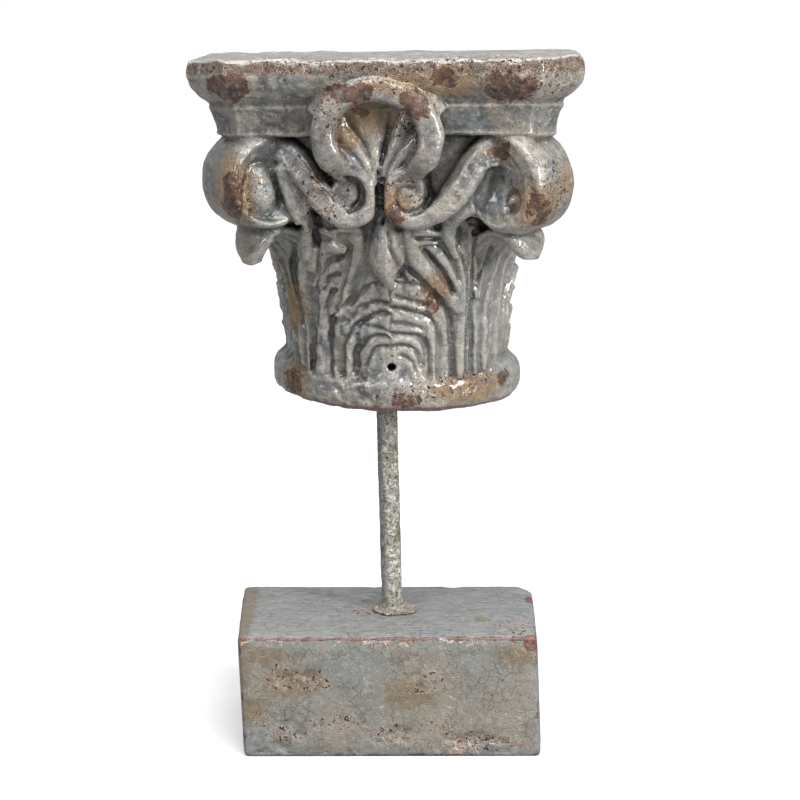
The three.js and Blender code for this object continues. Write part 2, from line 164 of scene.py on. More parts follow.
def remeshPiece(piece, voxel):  # melts all the forms into one skin
    remesh = piece.modifiers.new("remesh", "REMESH")
    remesh.mode = "VOXEL"
    remesh.voxel_size = voxel
    applyModifiers(piece)


def roundCutter(name, middle, axis, radius, length):
    bm = bmesh.new()
    place = Matrix.Translation(middle) @ axis.to_track_quat("Z", "Y").to_matrix().to_4x4()
    bmesh.ops.create_cone(bm, cap_ends=True, segments=24, radius1=radius, radius2=radius, depth=length,
                          matrix=Matrix.Scale(toMetres, 4) @ place)
    mesh = bpy.data.meshes.new(name)
    bm.to_mesh(mesh)
    bm.free()
    cutter = bpy.data.objects.new(name, mesh)
    scene.collection.objects.link(cutter)
    return cutter


def cutHoles(piece, cutters):
    for cutter in cutters:
        cut = piece.modifiers.new("cut", "BOOLEAN")
        cut.object = cutter
        cut.solver = "EXACT"
    applyModifiers(piece)
    for cutter in cutters:
        bpy.data.objects.remove(cutter)


capitalSize = {  # -1 is the left side, 1 the right side
    "height": 202.0, "turn": -2.3, "place": (5.0686, 45.0, 206.1253),  # turn in degrees
    "skew": 0.0175, "footSlope": -0.014, "topSlope": 0.013,  # warp of the moulding
    "ring": 76.0, "ringFoot": -1.6, "ringTop": 22.5, "bell": 64.5, "flare": 17.0,
    "abacus": 42.5, "abacusHalf": 109.3, "abacusDepth": 116.0, "cornerCut": 23.0,
    "abacusProfile": [  # inset, depth below the top
        (16.6, 42.5), (14.9, 41.2), (15.6, 38.8), (14.8, 34.5), (12.6, 29.2), (10.6, 26.0), (11.6, 24.8),
        (11.0, 23.4), (9.0, 22.0), (5.6, 19.4), (1.6, 14.5), (0.0, 9.0), (0.3, 4.0), (1.2, 1.0), (2.6, 0.0),
    ],
    "volute": 26.6, "voluteThick": 40.0, "voluteAt": (74.5, -82.0, 132.5),
    "voluteLift": 0.13, "voluteTurn": 34.0,
    "shift": -3.65, "helix": 12.4, "helixAt": (14.0, 127.0), "helixFront": 101.5,
    "helixFace": {  # share of the radius, depth behind the front: a dish, then a boss
        -1: [(0.9, 0.8), (0.7, 1.4), (0.4, 0.8), (0.15, -0.4)],
        1: [(0.9, -1.5), (0.7, -4.2), (0.4, -5.0), (0.15, -4.6)],
    },
    "bandDeep": 13.0,
    "bands": {  # from the volute down, under the helix and round it: across, reach, height, half width
        -1: [
            (-64, 92, 153, 8.4), (-54, 97, 148.5, 8.4), (-46, 101, 139.5, 8.2), (-38.8, 103.5, 130.2, 7.8),
            (-32, 104.5, 121, 7.2), (-22.6, 105, 115.2, 6.6), (-14, 105.8, 116, 5.8), (-8.8, 106.5, 122, 4.6),
            (-8.4, 107, 129.5, 4.3), (-11.2, 107, 136.5, 4.3), (-17.5, 106, 139.4, 3.8),
            (-23.5, 104, 137.5, 2.8),
        ],
        1: [
            (68, 91, 151, 8.4), (58.5, 96, 151.5, 8.8), (50.5, 99.5, 144.5, 8.8), (44, 102, 135.2, 8.4),
            (37.3, 104, 126.8, 7.8), (30, 104.8, 119.8, 6.6), (19.5, 105.5, 115, 6.3), (9.5, 106, 114.8, 5.8),
            (2.8, 106.5, 120.5, 4.6), (1.7, 107, 128.5, 4.1), (4.5, 107, 136.5, 4.1), (11, 107, 139.5, 4.0),
            (18, 106.5, 136, 3.4), (19.6, 105.5, 130, 2.6),
        ],
    },
    "stem": [(82, 70, 152), (79, 54, 140), (73, 42, 120), (67, 36, 96), (61, 32, 72)],  # behind the volute
    "hooks": {  # the stalk's hook, its tie to the volute and a ridge: across, reach, height, half width
        -1: [
            [(47.4, 74, 92, 4.6), (46.6, 80, 101, 4.8), (45.6, 87, 109, 4.8), (45, 93, 116, 4.4),
             (44.6, 97, 122, 3.2), (46, 98, 128, 2.2)],
            [(49, 95, 112, 4.5), (51, 97, 122, 6.5), (53.5, 98, 133, 7), (58, 97, 143, 6)],
            [(46, 92, 108, 3.0), (47.5, 95, 116, 3.4), (50, 97, 124, 3.4), (53, 97, 132, 3.0)],
        ],
        1: [
            [(37, 79.5, 93, 4.4), (34.6, 84.5, 101, 4.8), (34, 89, 108.5, 5.0), (36.2, 93.5, 114.5, 5.0),
             (41.5, 96, 119, 4.8), (47, 95, 121, 4.0)],
            [(48, 89, 117, 5.5), (50.5, 90.5, 126, 7.5), (54, 92, 136, 7.5), (60, 95, 144, 6)],
            [(47, 95.5, 123, 1.5), (47.6, 97, 130, 1.8), (51.2, 98, 137.5, 1.9), (58, 100, 143.4, 1.9),
             (64.5, 102, 144, 1.6)],
        ],
    },
    "shoe": 29.3, "shoeSpring": 160.0, "shoeTop": 185.8, "shoeBand": 14.2, "shoeFront": 120.0,
    "shoeDeep": 9.0, "shoeSweep": 1.26,
    "shoeBack": [(118, 8), (132, 15), (146, 24), (158, 28), (172, 27), (184, 16)],  # height, half width
    "petalFront": 106.0, "petalDeep": 6.6,
    "petals": [  # foot, waist, shoulder and top: across, height, half width
        [(-4.7, 135, 1.2), (-5.5, 148, 3.0), (-6.6, 161, 7.6), (-8.1, 172, 13.6), (-8.4, 182, 13.0)],
        [(-7.2, 138, 1.2), (-13.2, 149.5, 3.4), (-20.0, 158.5, 5.6), (-26.5, 167, 6.6), (-31, 173, 5.5)],
        [(-1.8, 138, 1.4), (3.2, 150, 3.4), (8.0, 160.5, 5.4), (12.2, 170, 6.4), (15, 177, 5.5)],
        [(-10.5, 139, 1.6), (-16.5, 144.5, 3.0), (-23.0, 149.5, 4.2), (-30, 154, 4.6), (-36, 157, 4)],
        [(2.4, 139, 1.6), (6.6, 145, 3.0), (11.2, 151.5, 4.2), (16.4, 158, 5.0), (21, 163, 4)],
        [(-4.2, 143, 2.4), (-4.0, 138, 2.2), (-3.8, 133, 1.4)],  # the shared foot
    ],
    "bud": [  # height, across, half width, reach
        (120, -1.2, 6.8, 91), (112, -1.0, 8.0, 94.5), (102, -1.2, 9.8, 96.5), (93, -1.9, 11.0, 96.5),
        (87.5, -2.3, 10.0, 94.5), (83, -2.0, 7.0, 92), (80, -1.4, 3.8, 89), (78, -1.0, 1.8, 86.5),
    ],
    "leaf": 72.0, "leafFoot": 17.5, "leafLift": 3.2,
    "bladeEdge": [(26, 16), (27, 36), (25.5, 50), (21, 62), (15, 72), (9, 80)],
    "archHalf": 3.2, "archDeep": 5.2, "archBow": 0.8, "archDrop": 5.5,  # ribs of the plain side leaves
    "foliageLift": 2.8, "foliageTop": 120,
    "foliageMass": [  # across, half width, foot
        (16, 14, 76), (26, 14, 62), (31, 12, 40), (37, 12, 18), (42, 12, 18), (48, 12, 18), (55, 9, 18),
    ],
    "foliage": {  # across and height of the stops, half width, height over the bell
        -1: [
            ([(41, 18), (40.5, 37), (39, 55), (37.5, 68), (36, 80), (34, 92)], 7.6, 4.6),
            ([(43, 81), (40, 90), (33.5, 95.5), (27.5, 95), (23.5, 93)], 5.6, 6.8),
            ([(40.5, 71), (37.5, 79), (31.5, 83.4), (26.6, 84.6)], 5.0, 6.0),
            ([(40, 60), (36.6, 69.5), (31.5, 74.5)], 4.8, 5.4),
            ([(31.5, 54), (26, 70), (21, 83), (18, 93.5), (16.4, 103.5), (16.5, 112)], 6.4, 5.8),
            ([(48.5, 18), (48, 55), (48.4, 76), (47.4, 90), (46.4, 104)], 6.0, 5.4),
            ([(14, 106.5), (21, 107), (29, 105)], 3.0, 8.0),
            ([(28, 102), (35, 105.5), (41, 108)], 3.8, 6.6),
        ],
        1: [
            ([(38.5, 18), (38.8, 37), (40, 52), (41.5, 65), (41.2, 77), (38.6, 89), (35, 99),
              (33.2, 108)], 6.2, 5.6),
            ([(38.5, 67), (34.5, 77.5), (30, 87), (26, 94)], 6.0, 5.4),
            ([(38, 59), (33, 66.5), (24.5, 76), (17.5, 86), (13.4, 95), (12, 104), (12.5, 112)], 6.6, 5.8),
            ([(14, 106), (20, 106.6), (28, 105.6)], 3.2, 8.0),
            ([(16, 99.8), (20, 100.2), (27, 99.4)], 2.6, 6.4),
            ([(46.5, 66), (46.6, 80), (45, 92), (43.6, 102), (43.6, 112)], 3.6, 5.6),
            ([(49.6, 66), (50.8, 78), (52.6, 89), (54, 98)], 3.4, 5.0),
        ],
    },
    "foliageLip": ([(51, 22), (51.5, 50), (55, 70), (59, 86), (62, 97)], 4.6, 5.0),
    "cornerSpine": [  # reach, height, half width up to the curl
        (68, 17, 14), (69, 45, 16), (70.5, 66, 18), (75, 84, 19.5), (85, 99, 20), (98, 106, 19),
        (107, 103.5, 16),
    ],
    "cornerThick": 4.6, "cornerTilt": 2.4, "flutes": (-0.78, -0.42, -0.06, 0.32, 0.7),
    "drill": 2.7, "drillZ": 25.3,
    "socket": 6.65, "socketAt": (-6.5, -45.0, -1.6), "socketAxis": (-0.02616, 0.00105, 0.99966),
    "cracks": [
        [(-48, 149), (-42, 142), (-38, 134), (-33, 131), (-28, 124), (-31, 118)],
    ],
    "grooves": {  # lift over the bell: half width, depth, then the line's places across and up
        3: [
            # right of the leaf
            (2.0, 3.4, [(35.5, 19), (35, 44.5), (33, 55), (27, 66), (17.5, 76.5), (9, 84)]),
            (1.7, 3.2, [(44, 19), (44, 37), (45.5, 65), (45, 77.5), (42.8, 87), (39.8, 96), (39.5, 107)]),
            (1.6, 4.2, [(20, 95), (24, 90), (28, 84), (36.5, 69.5)]),
            (1.3, 2.0, [(29.5, 99), (34.5, 88.5), (39.4, 76)]),
            (1.2, 2.4, [(18, 97), (23, 97.6), (29, 97)]),
            (1.2, 2.0, [(16, 102.6), (20, 103), (27, 102.4)]),
            (1.7, 3.4, [(46.6, 19), (46.6, 36.5), (47.5, 62), (54.5, 82), (58.5, 92.5)]),
            (1.4, 2.8, [(47.4, 66), (48, 80), (48, 92), (47.4, 106)]),
            (1.9, 1.0, [(56.5, 19), (56.5, 42.5), (57.5, 59.5), (62, 73.5), (67, 87.5)]),
            (1.9, 1.0, [(51, 19), (51, 39), (53, 60), (58, 75.5), (62.5, 89)]),
            # ribs of the leaf
            (2.7, 3.4, [(28, 20), (28, 41.5), (23, 53), (13, 58.5), (5.5, 60.5), (0.5, 60.5)]),
            (2.5, 3.2, [(22.5, 20), (21.5, 34.5), (17.5, 42.5), (10.5, 44.5), (0, 45)]),
            (2.2, 2.6, [(18.5, 26), (16, 33.5), (10, 37), (0, 37.5)]),
            (2.2, 2.2, [(0.5, 52.5), (10.5, 51), (18, 48)]),
            (2.2, 2.4, [(3, 67.5), (13.5, 65), (21, 62)]),
            (2.2, 2.4, [(3, 75.5), (14, 75), (24.5, 70.5)]),
            (1.9, 1.8, [(6, 31.5), (12.5, 27.5), (14.5, 23)]),
            (2.7, 3.0, [(-29, 20), (-28, 36), (-24, 44.5), (-17, 52), (-6.5, 57), (-0.5, 57.5)]),
            (2.5, 2.8, [(-21.5, 21), (-20.5, 32.5), (-16, 39.5), (-9.5, 42.5), (-1, 43)]),
            (2.5, 2.8, [(-31, 57), (-23.5, 62.5), (-15.5, 70), (-7, 73.5), (-1, 75.5)]),
            (2.3, 2.4, [(-26, 51), (-19, 59), (-11.5, 62.5), (-1, 63.5)]),
            (1.9, 1.8, [(-16, 49.5), (-8.5, 48.5), (-0.5, 46.5)]),
            (2.0, 2.2, [(-15, 26), (-11, 34.5), (-4, 37.5), (0, 38)]),
            (1.4, 1.8, [(0, 79), (-0.5, 63.5), (0.5, 55.5), (-0.5, 47), (0, 35.5)]),
            # left of the leaf
            (1.9, 3.4, [(-36, 19), (-35.5, 37.5), (-34, 52), (-30, 66), (-26, 78), (-23.5, 89), (-22, 96)]),
            (1.6, 3.0, [(-47.5, 19), (-46, 34.5), (-43.5, 54.5), (-42.5, 73.5), (-41, 86.5), (-40.5, 99),
                        (-42.5, 110)]),
            (2.0, 3.4, [(-52, 19), (-52, 34), (-52.5, 48), (-56, 68.5), (-57, 83.5), (-55.5, 97)]),
            (1.9, 1.2, [(-62, 19), (-61, 34), (-62, 52.5), (-65.5, 70), (-69, 83)]),
            (1.9, 1.2, [(-57, 19), (-56.5, 35.5), (-57.5, 54), (-61.5, 72.5), (-63, 86)]),
            (1.5, 3.4, [(-39.5, 80), (-35, 87), (-29, 88.5), (-25, 89.5)]),
            (1.3, 2.8, [(-38.5, 69), (-34.5, 77.5), (-29.5, 79.5)]),
            (1.2, 2.2, [(-38, 57), (-34.5, 67), (-31, 70)]),
        ],
        13: [
            (2.2, 2.6, [(1.5, 106), (2.5, 101), (2.5, 97), (5.5, 89.5), (6.5, 86)]),  # slot in the bud
            (1.9, 2.8, [(23.5, 126), (21, 121), (14.5, 118.5), (9, 119.5), (6.5, 124), (7.2, 129),
                        (10.5, 132.5), (14.5, 132)]),  # turn of the right helix
            (1.9, 3.0, [(-20, 119.5), (-14.6, 123.5), (-13.4, 129.5), (-16, 135), (-21.5, 136.5)]),
            (1.8, 5.0, [(-3.3, 141), (-3.3, 128), (-3.3, 113)]),  # gap between the helices
        ],
    },
    "voxel": 1.0, "faces": 190000, "seed": 51,
}


def makeCore(bm, s):  # the bell with the ring at its foot
    under = s["height"] - s["abacus"]
    ring, bell, flare = s["ring"], s["bell"], s["flare"]
    profile = [
        (ring - 6.5, s["ringFoot"]), (ring - 2.4, 0.2), (ring - 0.4, 4), (ring, 9), (ring - 0.5, 15),
        (ring - 2.6, 19.5), (ring - 6, s["ringTop"]), (bell + 3.5, s["ringTop"] + 1.5),
        (bell + flare * 0.28, 62), (bell + flare * 0.5, 85), (bell + flare * 0.78, 112),
        (bell + flare, under), (bell + flare, under + 12),
    ]
    ends = (0, len(profile) - 1)
    skin(bm, [ringAt(bm, Vector((0, 0, z)), sideways, -front, r, r, 64, i in ends)
              for i, (r, z) in enumerate(profile)])


def makeAbacus(bm, s):
    rings = []
    for inset, down in s["abacusProfile"]:
        w = s["abacusHalf"] - inset
        d = s["abacusDepth"] - inset
        cut = s["cornerCut"] - inset * (2 - math.sqrt(2))
        plan = [(-w, 4), (-w, cut - d), (cut - w, -d), (w - cut, -d), (w, cut - d), (w, 4)]
        ring = [bm.verts.new((x, y, s["height"] - down)) for x, y in plan]
        for a, b in zip(ring, ring[1:] + ring[:1]):
            bm.edges.new((a, b))
        rings.append(ring)
    skin(bm, rings)
    bm.faces.new(rings[0])
    bm.faces.new(rings[-1])


def voluteSink(side, a, b):  # height of the face at a place out and up, in radii
    if side < 0:  # a worn button in a ring
        r = math.hypot((a - 0.14) / 0.4, (b + 0.14) / 0.56)
        groove = 3.6 * smoothStep(1.75, 1.1, r)
        return 4.4 * smoothStep(1.05, 0.4, r) - groove - 1.6 * smoothStep(1.25, 1.08, r)
    r = math.hypot((a + 0.13) / 0.63, (b + 0.06) / 0.66)  # a stepped dish with an eye
    eye = math.hypot(a - 0.2, b + 0.32)
    steps = 1.7 * smoothStep(1.1, 1.0, r) + 1.3 * smoothStep(0.88, 0.8, r) + 3.4 * smoothStep(0.8, 0.2, r)
    return 5.6 * smoothStep(0.16, 0.04, eye) - steps - 3.0 * smoothStep(0.28, 0.2, eye)


def makeVolute(bm, s, side):
    radius, half = s["volute"], s["voluteThick"] / 2
    angle = math.radians(s["voluteTurn"])
    outward = Vector((side * math.cos(angle), -math.sin(angle), 0))
    normal = Vector((-side * math.sin(angle), -math.cos(angle), 0))
    x, y, z = s["voluteAt"]
    middle = Vector((side * x, y, z))
    barrel = [(1.0, 0.0), (0.995, 0.35), (0.98, 0.62), (0.95, 0.8), (0.9, 0.93), (0.84, 1.0)]
    sizes = barrel + [(0.8 - 0.045 * k, 0.99) for k in range(17)]  # then the face, ring by ring
    rows = [(a, -b) for a, b in sizes[:0:-1]] + sizes
    rings = []
    for i, (size, share) in enumerate(rows):
        cap = i in (0, len(rows) - 1)
        ring = ringAt(bm, middle + normal * half * share, outward, up, radius * size, radius * size, 56, cap)
        for vert in ring:
            if size < 0.8:
                spot = vert.co - middle
                sink = voluteSink(side, spot.dot(outward) / radius, spot.z / radius)
                vert.co += normal * sink * math.copysign(1, share)
            vert.co.z += max(0, vert.co.z - z) * s["voluteLift"]
        rings.append(ring)
    skin(bm, rings)


def makeHelix(bm, s, side):  # the drum that the scroll winds over
    x, z = s["helixAt"]
    middle = Vector((side * x + s["shift"], -s["helixFront"], z))
    rows = [(0.95, 40), (1.0, 8), (0.98, 3)] + s["helixFace"][side]
    ends = (0, len(rows) - 1)
    wide, high = s["helix"], 1.14 * s["helix"]
    skin(bm, [ringAt(bm, middle - front * back, sideways, up, wide * size, high * size, 32, i in ends)
              for i, (size, back) in enumerate(rows)])


def makeScrollBands(bm, s, side):
    deep = s["bandDeep"]
    path = [(x, deep - reach, z, half, deep) for x, reach, z, half in s["bands"][side]]
    ribbon(bm, path, 64, 20, front, 0.62)
    lip = [(x - side * 3.4, y - 0.9, z + 2.8, 2.2, deep) for x, y, z, half, d in path[1:5]]
    ribbon(bm, lip, 14, 8, front)  # on the upper edge
    ribbon(bm, [(side * x, -reach, z, 6.4, 9.0) for x, reach, z in s["stem"]], 10, 10)
    panel = [(side * 40, -70, z, 24, 19) for z in (120, 136, 150, 164)]  # the bell behind the band
    ribbon(bm, panel, 8, 12, front, 0.7)
    for stops in s["hooks"][side]:
        ribbon(bm, [(side * x, 10 - reach, z, half, 10) for x, reach, z, half in stops], 16, 14, front, 0.85)


def makeHorseshoe(bm, s):
    deep, half, shift = s["shoeDeep"], s["shoeBand"] / 2, s["shift"]
    y = deep - s["shoeFront"]
    rise = s["shoeTop"] - s["shoeSpring"]
    path = []
    for i in range(17):
        angle = math.pi * (0.5 + s["shoeSweep"] * (0.5 - i / 16))
        x = shift + s["shoe"] * math.cos(angle)
        path.append((x, y, s["shoeSpring"] + rise * math.sin(angle), half, deep))
    legs = [(shift + side * 20.3, y + 15, 141, half * 0.8, deep) for side in (-1, 1)]
    ribbon(bm, [legs[0], *path, legs[1]], 56, 20, front, 0.64)
    hood = [(shift + 1.22 * (x - shift), y + 6.0, z + 3.5, 5.5, deep) for x, y, z, half, d in path[3:14]]
    ribbon(bm, hood, 24, 12, front)  # soft swell where the band grows out of the abacus
    ribbon(bm, [(shift, -82, z, wide, 18) for z, wide in s["shoeBack"]], 12, 12, front, 0.5)


def makePalmette(bm, s):
    deep = s["petalDeep"]
    for stops in s["petals"]:
        ribbon(bm, [(x, deep - s["petalFront"], z, half, deep) for x, z, half in stops], 20, 16, front, 0.8)


def makeBud(bm, s):
    root = s["bell"] - 8
    stops = [(x, -(reach + root) / 2, z, half, (reach - root) / 2) for z, x, half, reach in s["bud"]]
    ribbon(bm, stops, 18, 18, front)


def makeFrontLeaf(bm, s):  # the smooth blade; its ribs are cut into it afterwards
    deep, ends, lift = 18, (1, 0.8), s["leafLift"]
    ribbonOnBell(bm, [(0, 16 + 13 * k) for k in range(6)], 13, deep, 14, ends, 0, lift)
    for side in (-1, 1):
        ribbonOnBell(bm, [(side * 13, 16 + 12.4 * k) for k in range(6)], 12, deep, 14, ends, 0, lift)
        ribbonOnBell(bm, [(side * x, z) for x, z in s["bladeEdge"]], 10, deep, 16, ends, 0, lift)


def makeArch(bm, s, turn, side, wide, top):  # one rib of a side leaf, from the foot to the midrib
    foot, deep, last = s["leafFoot"], s["archDeep"], 9
    stops = []
    for i in range(last + 1):
        angle = math.pi / 2 * (i / last)
        x = side * (wide * math.cos(angle) ** s["archBow"] if i < last else -1.0)
        z = foot + (top - foot) * math.sin(angle) ** s["archBow"]
        size = s["archHalf"] * (0.86 + 0.14 * math.sin(angle))
        around = x / s["leaf"] + turn
        reach = leafReach(z) - s["archDrop"] + 1.4 * math.sin(angle) - deep + size
        stops.append((math.sin(around) * reach, -math.cos(around) * reach, z, size, deep))
    ribbon(bm, stops, 22, 12)


def makeSideLeaf(bm, s, turn):
    for side in (-1, 1):
        for k in range(4):
            makeArch(bm, s, turn, side, 8 + 6.5 * k, 38 + 12 * k)


def makeFoliage(bm, s, side):
    for x, wide, low in s["foliageMass"]:  # what the forms swell from
        mass = [(side * x, low + (s["foliageTop"] - low) * k / 5) for k in range(6)]
        ribbonOnBell(bm, mass, wide, 22, 16, (1, 1), 0, s["foliageLift"])
    for stops, half, crest in s["foliage"][side] + [s["foliageLip"]]:
        ribbonOnBell(bm, [(side * x, z) for x, z in stops], half, 9.0, 5 * len(stops), (0.8, 0.8), crest)


def makeCornerLeaf(bm, s, side):
    outward = Vector((side, -1, 0)).normalized()
    wideWay = Vector((-side, -1, 0)).normalized()
    tilt = s["cornerTilt"] * side
    steps = 20
    rows = smoothPath(s["cornerSpine"] + [(111, 95 + tilt / 2, 11.5), (110, 88 + tilt, 6)], steps)
    spots = [outward * reach + up * z for reach, z, half in rows]
    outs = []
    for i in range(steps + 1):
        tangent = (spots[min(i + 1, steps)] - spots[max(i - 1, 0)]).normalized()
        outs.append(tangent.cross(wideWay) * side)
    skin(bm, [ringAt(bm, spots[i], wideWay, outs[i], half, s["cornerThick"], 20, i in (0, steps), 0.8)
              for i, (reach, z, half) in enumerate(rows)])
    for share in s["flutes"]:
        places = [spots[i] + wideWay * rows[i][2] * share + outs[i] * 2.8 for i in range(0, 17, 2)]
        ribbon(bm, [(*place, 2.5, 2.6) for place in places], 16, 8, outward)


def lineTree(lines):  # points along smooth lines in the front view, for measuring gaps
    spots = [(x, z, k) for k, line in enumerate(lines) for x, z in smoothPath(line, 14 * len(line))]
    tree = KDTree(len(spots))
    for i, (x, z, k) in enumerate(spots):
        tree.insert((x, z, 0), i)
    tree.balance()
    return tree, [k for x, z, k in spots]


def grooveDepth(gap, wide, deep):  # a narrow cut between softly rounded shoulders
    narrow = max(0.0, 1 - gap / wide) ** 1.3
    broad = max(0.0, 1 - gap / (2 * wide)) ** 1.4
    return deep * (0.56 * narrow + 0.38 * broad)


def lineMasks(s):  # a function that gives the cut depth and the crack share at a place
    sets = [(lift, rows, lineTree([line for wide, deep, line in rows]))
            for lift, rows in s["grooves"].items()]
    crackTree = lineTree(s["cracks"])[0]

    def measure(spot):
        if spot.y > -35:  # no lines at the sides
            return 0.0, 0.0
        cut = crack = 0.0
        shake = 0.5 * noise.noise(spot * 0.25)
        here = Vector((spot.x + shake, spot.z - shake, 0))
        for lift, rows, (tree, owner) in sets:
            if abs(spot.xy.length - leafReach(spot.z) - lift) < 7:
                index, gap = tree.find(here)[1:]
                wide, deep, line = rows[owner[index]]
                cut = max(cut, grooveDepth(gap, wide, deep))
        if spot.y < -92:
            crack = smoothStep(1.0, 0.3, crackTree.find(here + Vector((shake, shake, 0)))[2])
        return cut, crack
    return measure


def warpSlope(spot, s):
    return s["footSlope"] + (s["topSlope"] - s["footSlope"]) * (spot.z / s["height"]) ** 2


def warpPoint(spot, s):
    return Vector((spot.x - s["skew"] * spot.z, spot.y, spot.z + warpSlope(spot, s) * spot.x))


def unwarpPoint(spot, s):
    z = spot.z - warpSlope(spot, s) * spot.x
    return Vector((spot.x + s["skew"] * z, spot.y, z))


def capitalPlace(s):
    return Matrix.Translation(Vector(s["place"])) @ Matrix.Rotation(math.radians(s["turn"]), 4, "Z")


def carveCapital(piece, s):  # lumps, cut lines and chips, then the warp
    bm = openMesh(piece)
    soften(bm, bm.verts[:])
    bm.normal_update()
    noise.seed_set(s["seed"])  # the vector noise would start from the clock
    measure = lineMasks(s)
    turn = capitalPlace(s)
    top = s["height"]
    for vert in bm.verts:
        spot = vert.co
        keep = smoothStep(-1, -6, spot.y)  # the back stays flat
        cut, crack = measure(spot)
        worn = smoothStep(12, -30, spot.x) * smoothStep(98, 60, spot.z)  # the left of the leaf is more eroded
        lump = 0.5 * noise.noise(spot * 0.09) + (0.3 + 0.6 * worn) * noise.noise(spot * 0.21) - 0.4 * worn
        lump += 0.12 * noise.noise(spot * 0.5) - cut - 0.9 * crack
        rim = smoothStep(top - 7, top - 1, spot.z) * smoothStep(100, 108, max(abs(spot.x), -spot.y))
        lump -= 1.5 * rim * max(0, noise.noise(spot * 0.13) + 0.4 * noise.noise(spot * 0.4))  # chips
        bend = noise.noise_vector(spot * 0.028) * 1.5 + noise.noise_vector(spot * 0.075) * 0.8
        vert.co = spot + (vert.normal * lump + bend) * keep
    for vert in bm.verts:
        vert.co = (turn @ warpPoint(vert.co, s)) * toMetres
    bm.to_mesh(piece.data)
    bm.free()


def makeCapital(s):
    bm = bmesh.new()
    makeCore(bm, s)
    makeAbacus(bm, s)
    for side in (-1, 1):
        makeVolute(bm, s, side)
        makeHelix(bm, s, side)
        makeScrollBands(bm, s, side)
        makeFoliage(bm, s, side)
        makeCornerLeaf(bm, s, side)
        makeSideLeaf(bm, s, side * math.pi / 2)
    makeHorseshoe(bm, s)
    makePalmette(bm, s)
    makeBud(bm, s)
    makeFrontLeaf(bm, s)
    sliceFlat(bm, (0, 0, 0), (0, 1, 0))
    bmesh.ops.recalc_face_normals(bm, faces=bm.faces[:])
    piece = newPiece(bm, "capital_carved", "capital")
    remeshPiece(piece, s["voxel"])
    print("capital remeshed:", len(piece.data.polygons))
    carveCapital(piece, s)
    turn = capitalPlace(s)
    drillAt = turn @ warpPoint(Vector((0, -s["leaf"], s["drillZ"])), s)
    socketAt = turn @ warpPoint(Vector(s["socketAt"]), s)
    socketAxis = Vector(s["socketAxis"]).normalized()
    cutHoles(piece, [roundCutter("drill", drillAt, front, s["drill"], 24),
                     roundCutter("socket", socketAt, socketAxis, s["socket"], 124)])
    thin = piece.modifiers.new("thin", "DECIMATE")
    thin.ratio = min(1.0, s["faces"] / (2 * len(piece.data.polygons)))
    applyModifiers(piece)
    piece.data.shade_smooth()
    print("capital carved:", len(piece.data.polygons))
    return piece


rodSize = {
    "radius": 6.35, "foot": (2.0, 0.0, 75.0), "lean": -1.5, "below": 45.0, "above": 189.4,  # lean in degrees
    "step": 1.2, "sides": 48, "crust": 0.28, "shownTo": (125, 128),
}


def rodAxis(s):
    lean = math.radians(s["lean"])
    return Vector((math.sin(lean), 0, math.cos(lean)))


def makeRod(s):
    bm = bmesh.new()
    axis = rodAxis(s)
    wideWay = axis.cross(front).normalized()
    length = s["below"] + s["above"]
    count = round(length / s["step"])
    full, bare = s["shownTo"]
    rings = []
    for i in range(count + 1):
        along = length * i / count - s["below"]
        centre = Vector(s["foot"]) + axis * along
        radius = s["radius"] - (0.8 if i in (0, count) else 0.1)
        ring = ringAt(bm, centre, wideWay, axis.cross(wideWay), radius, radius, s["sides"], i in (0, count))
        shown = smoothStep(0, 3, along) * smoothStep(bare, full, along)
        for vert in ring:
            out = (vert.co - centre).normalized()
            lump = uneven(vert.co, 9, 3) + 0.5 * uneven(vert.co, 2.6, 2)
            vert.co += out * s["crust"] * lump * shown
        rings.append(ring)
    skin(bm, rings)
    bmesh.ops.recalc_face_normals(bm, faces=bm.faces[:])
    bmesh.ops.scale(bm, vec=(toMetres, toMetres, toMetres), verts=bm.verts[:])
    piece = newPiece(bm, "rod_crusted", "rod")
    piece.data.shade_smooth()
    print("rod crusted:", len(piece.data.polygons))
    return piece


blockSize = {
    "width": 176.0, "rearFlare": 3.7, "depth": 98.0, "height": 75.0, "corner": 2.6,
    "lean": 0.042, "leanFrom": 50.0, "batter": 0.3,  # sideways drift for each mm of height
    "chip": 7.0, "chipFace": (1.0, 0.8, 0.9),
    "flakes": [  # x, z, half width, half height
        (52, 8, 22, 7), (-62, 12, 10, 9), (0, 14, 14, 5), (18, 47, 8, 5), (-52, 48, 12, 6),
    ],
    "voxel": 1.25, "bore": 6.65, "boreDepth": 45.3,
}


def wearAt(spot, half, s):  # how much is worn off at a place on the block
    gaps = sorted((half.x - abs(spot.x), half.y - abs(spot.y), min(spot.z, s["height"] - spot.z)))
    edge = smoothStep(9, 1, gaps[1])  # 1 on an arris
    low = smoothStep(30, 3, spot.z) * smoothStep(0.6, 2.0, spot.z)
    wear = edge * (0.5 + 0.9 * max(0, uneven(spot, 16, 3)))
    wear += 1.6 * edge * low * max(0, uneven(spot * 1.3, 11, 3))
    wear += 0.16 * uneven(spot, 30, 4)
    if spot.y < 0.1 - half.y:
        away = min(math.hypot((spot.x - x) / wide, (spot.z - z) / high) for x, z, wide, high in s["flakes"])
        wear += 1.5 * smoothStep(1.5, 0.6, away) * smoothStep(-0.1, 0.25, uneven(spot, 9, 3))
    return wear


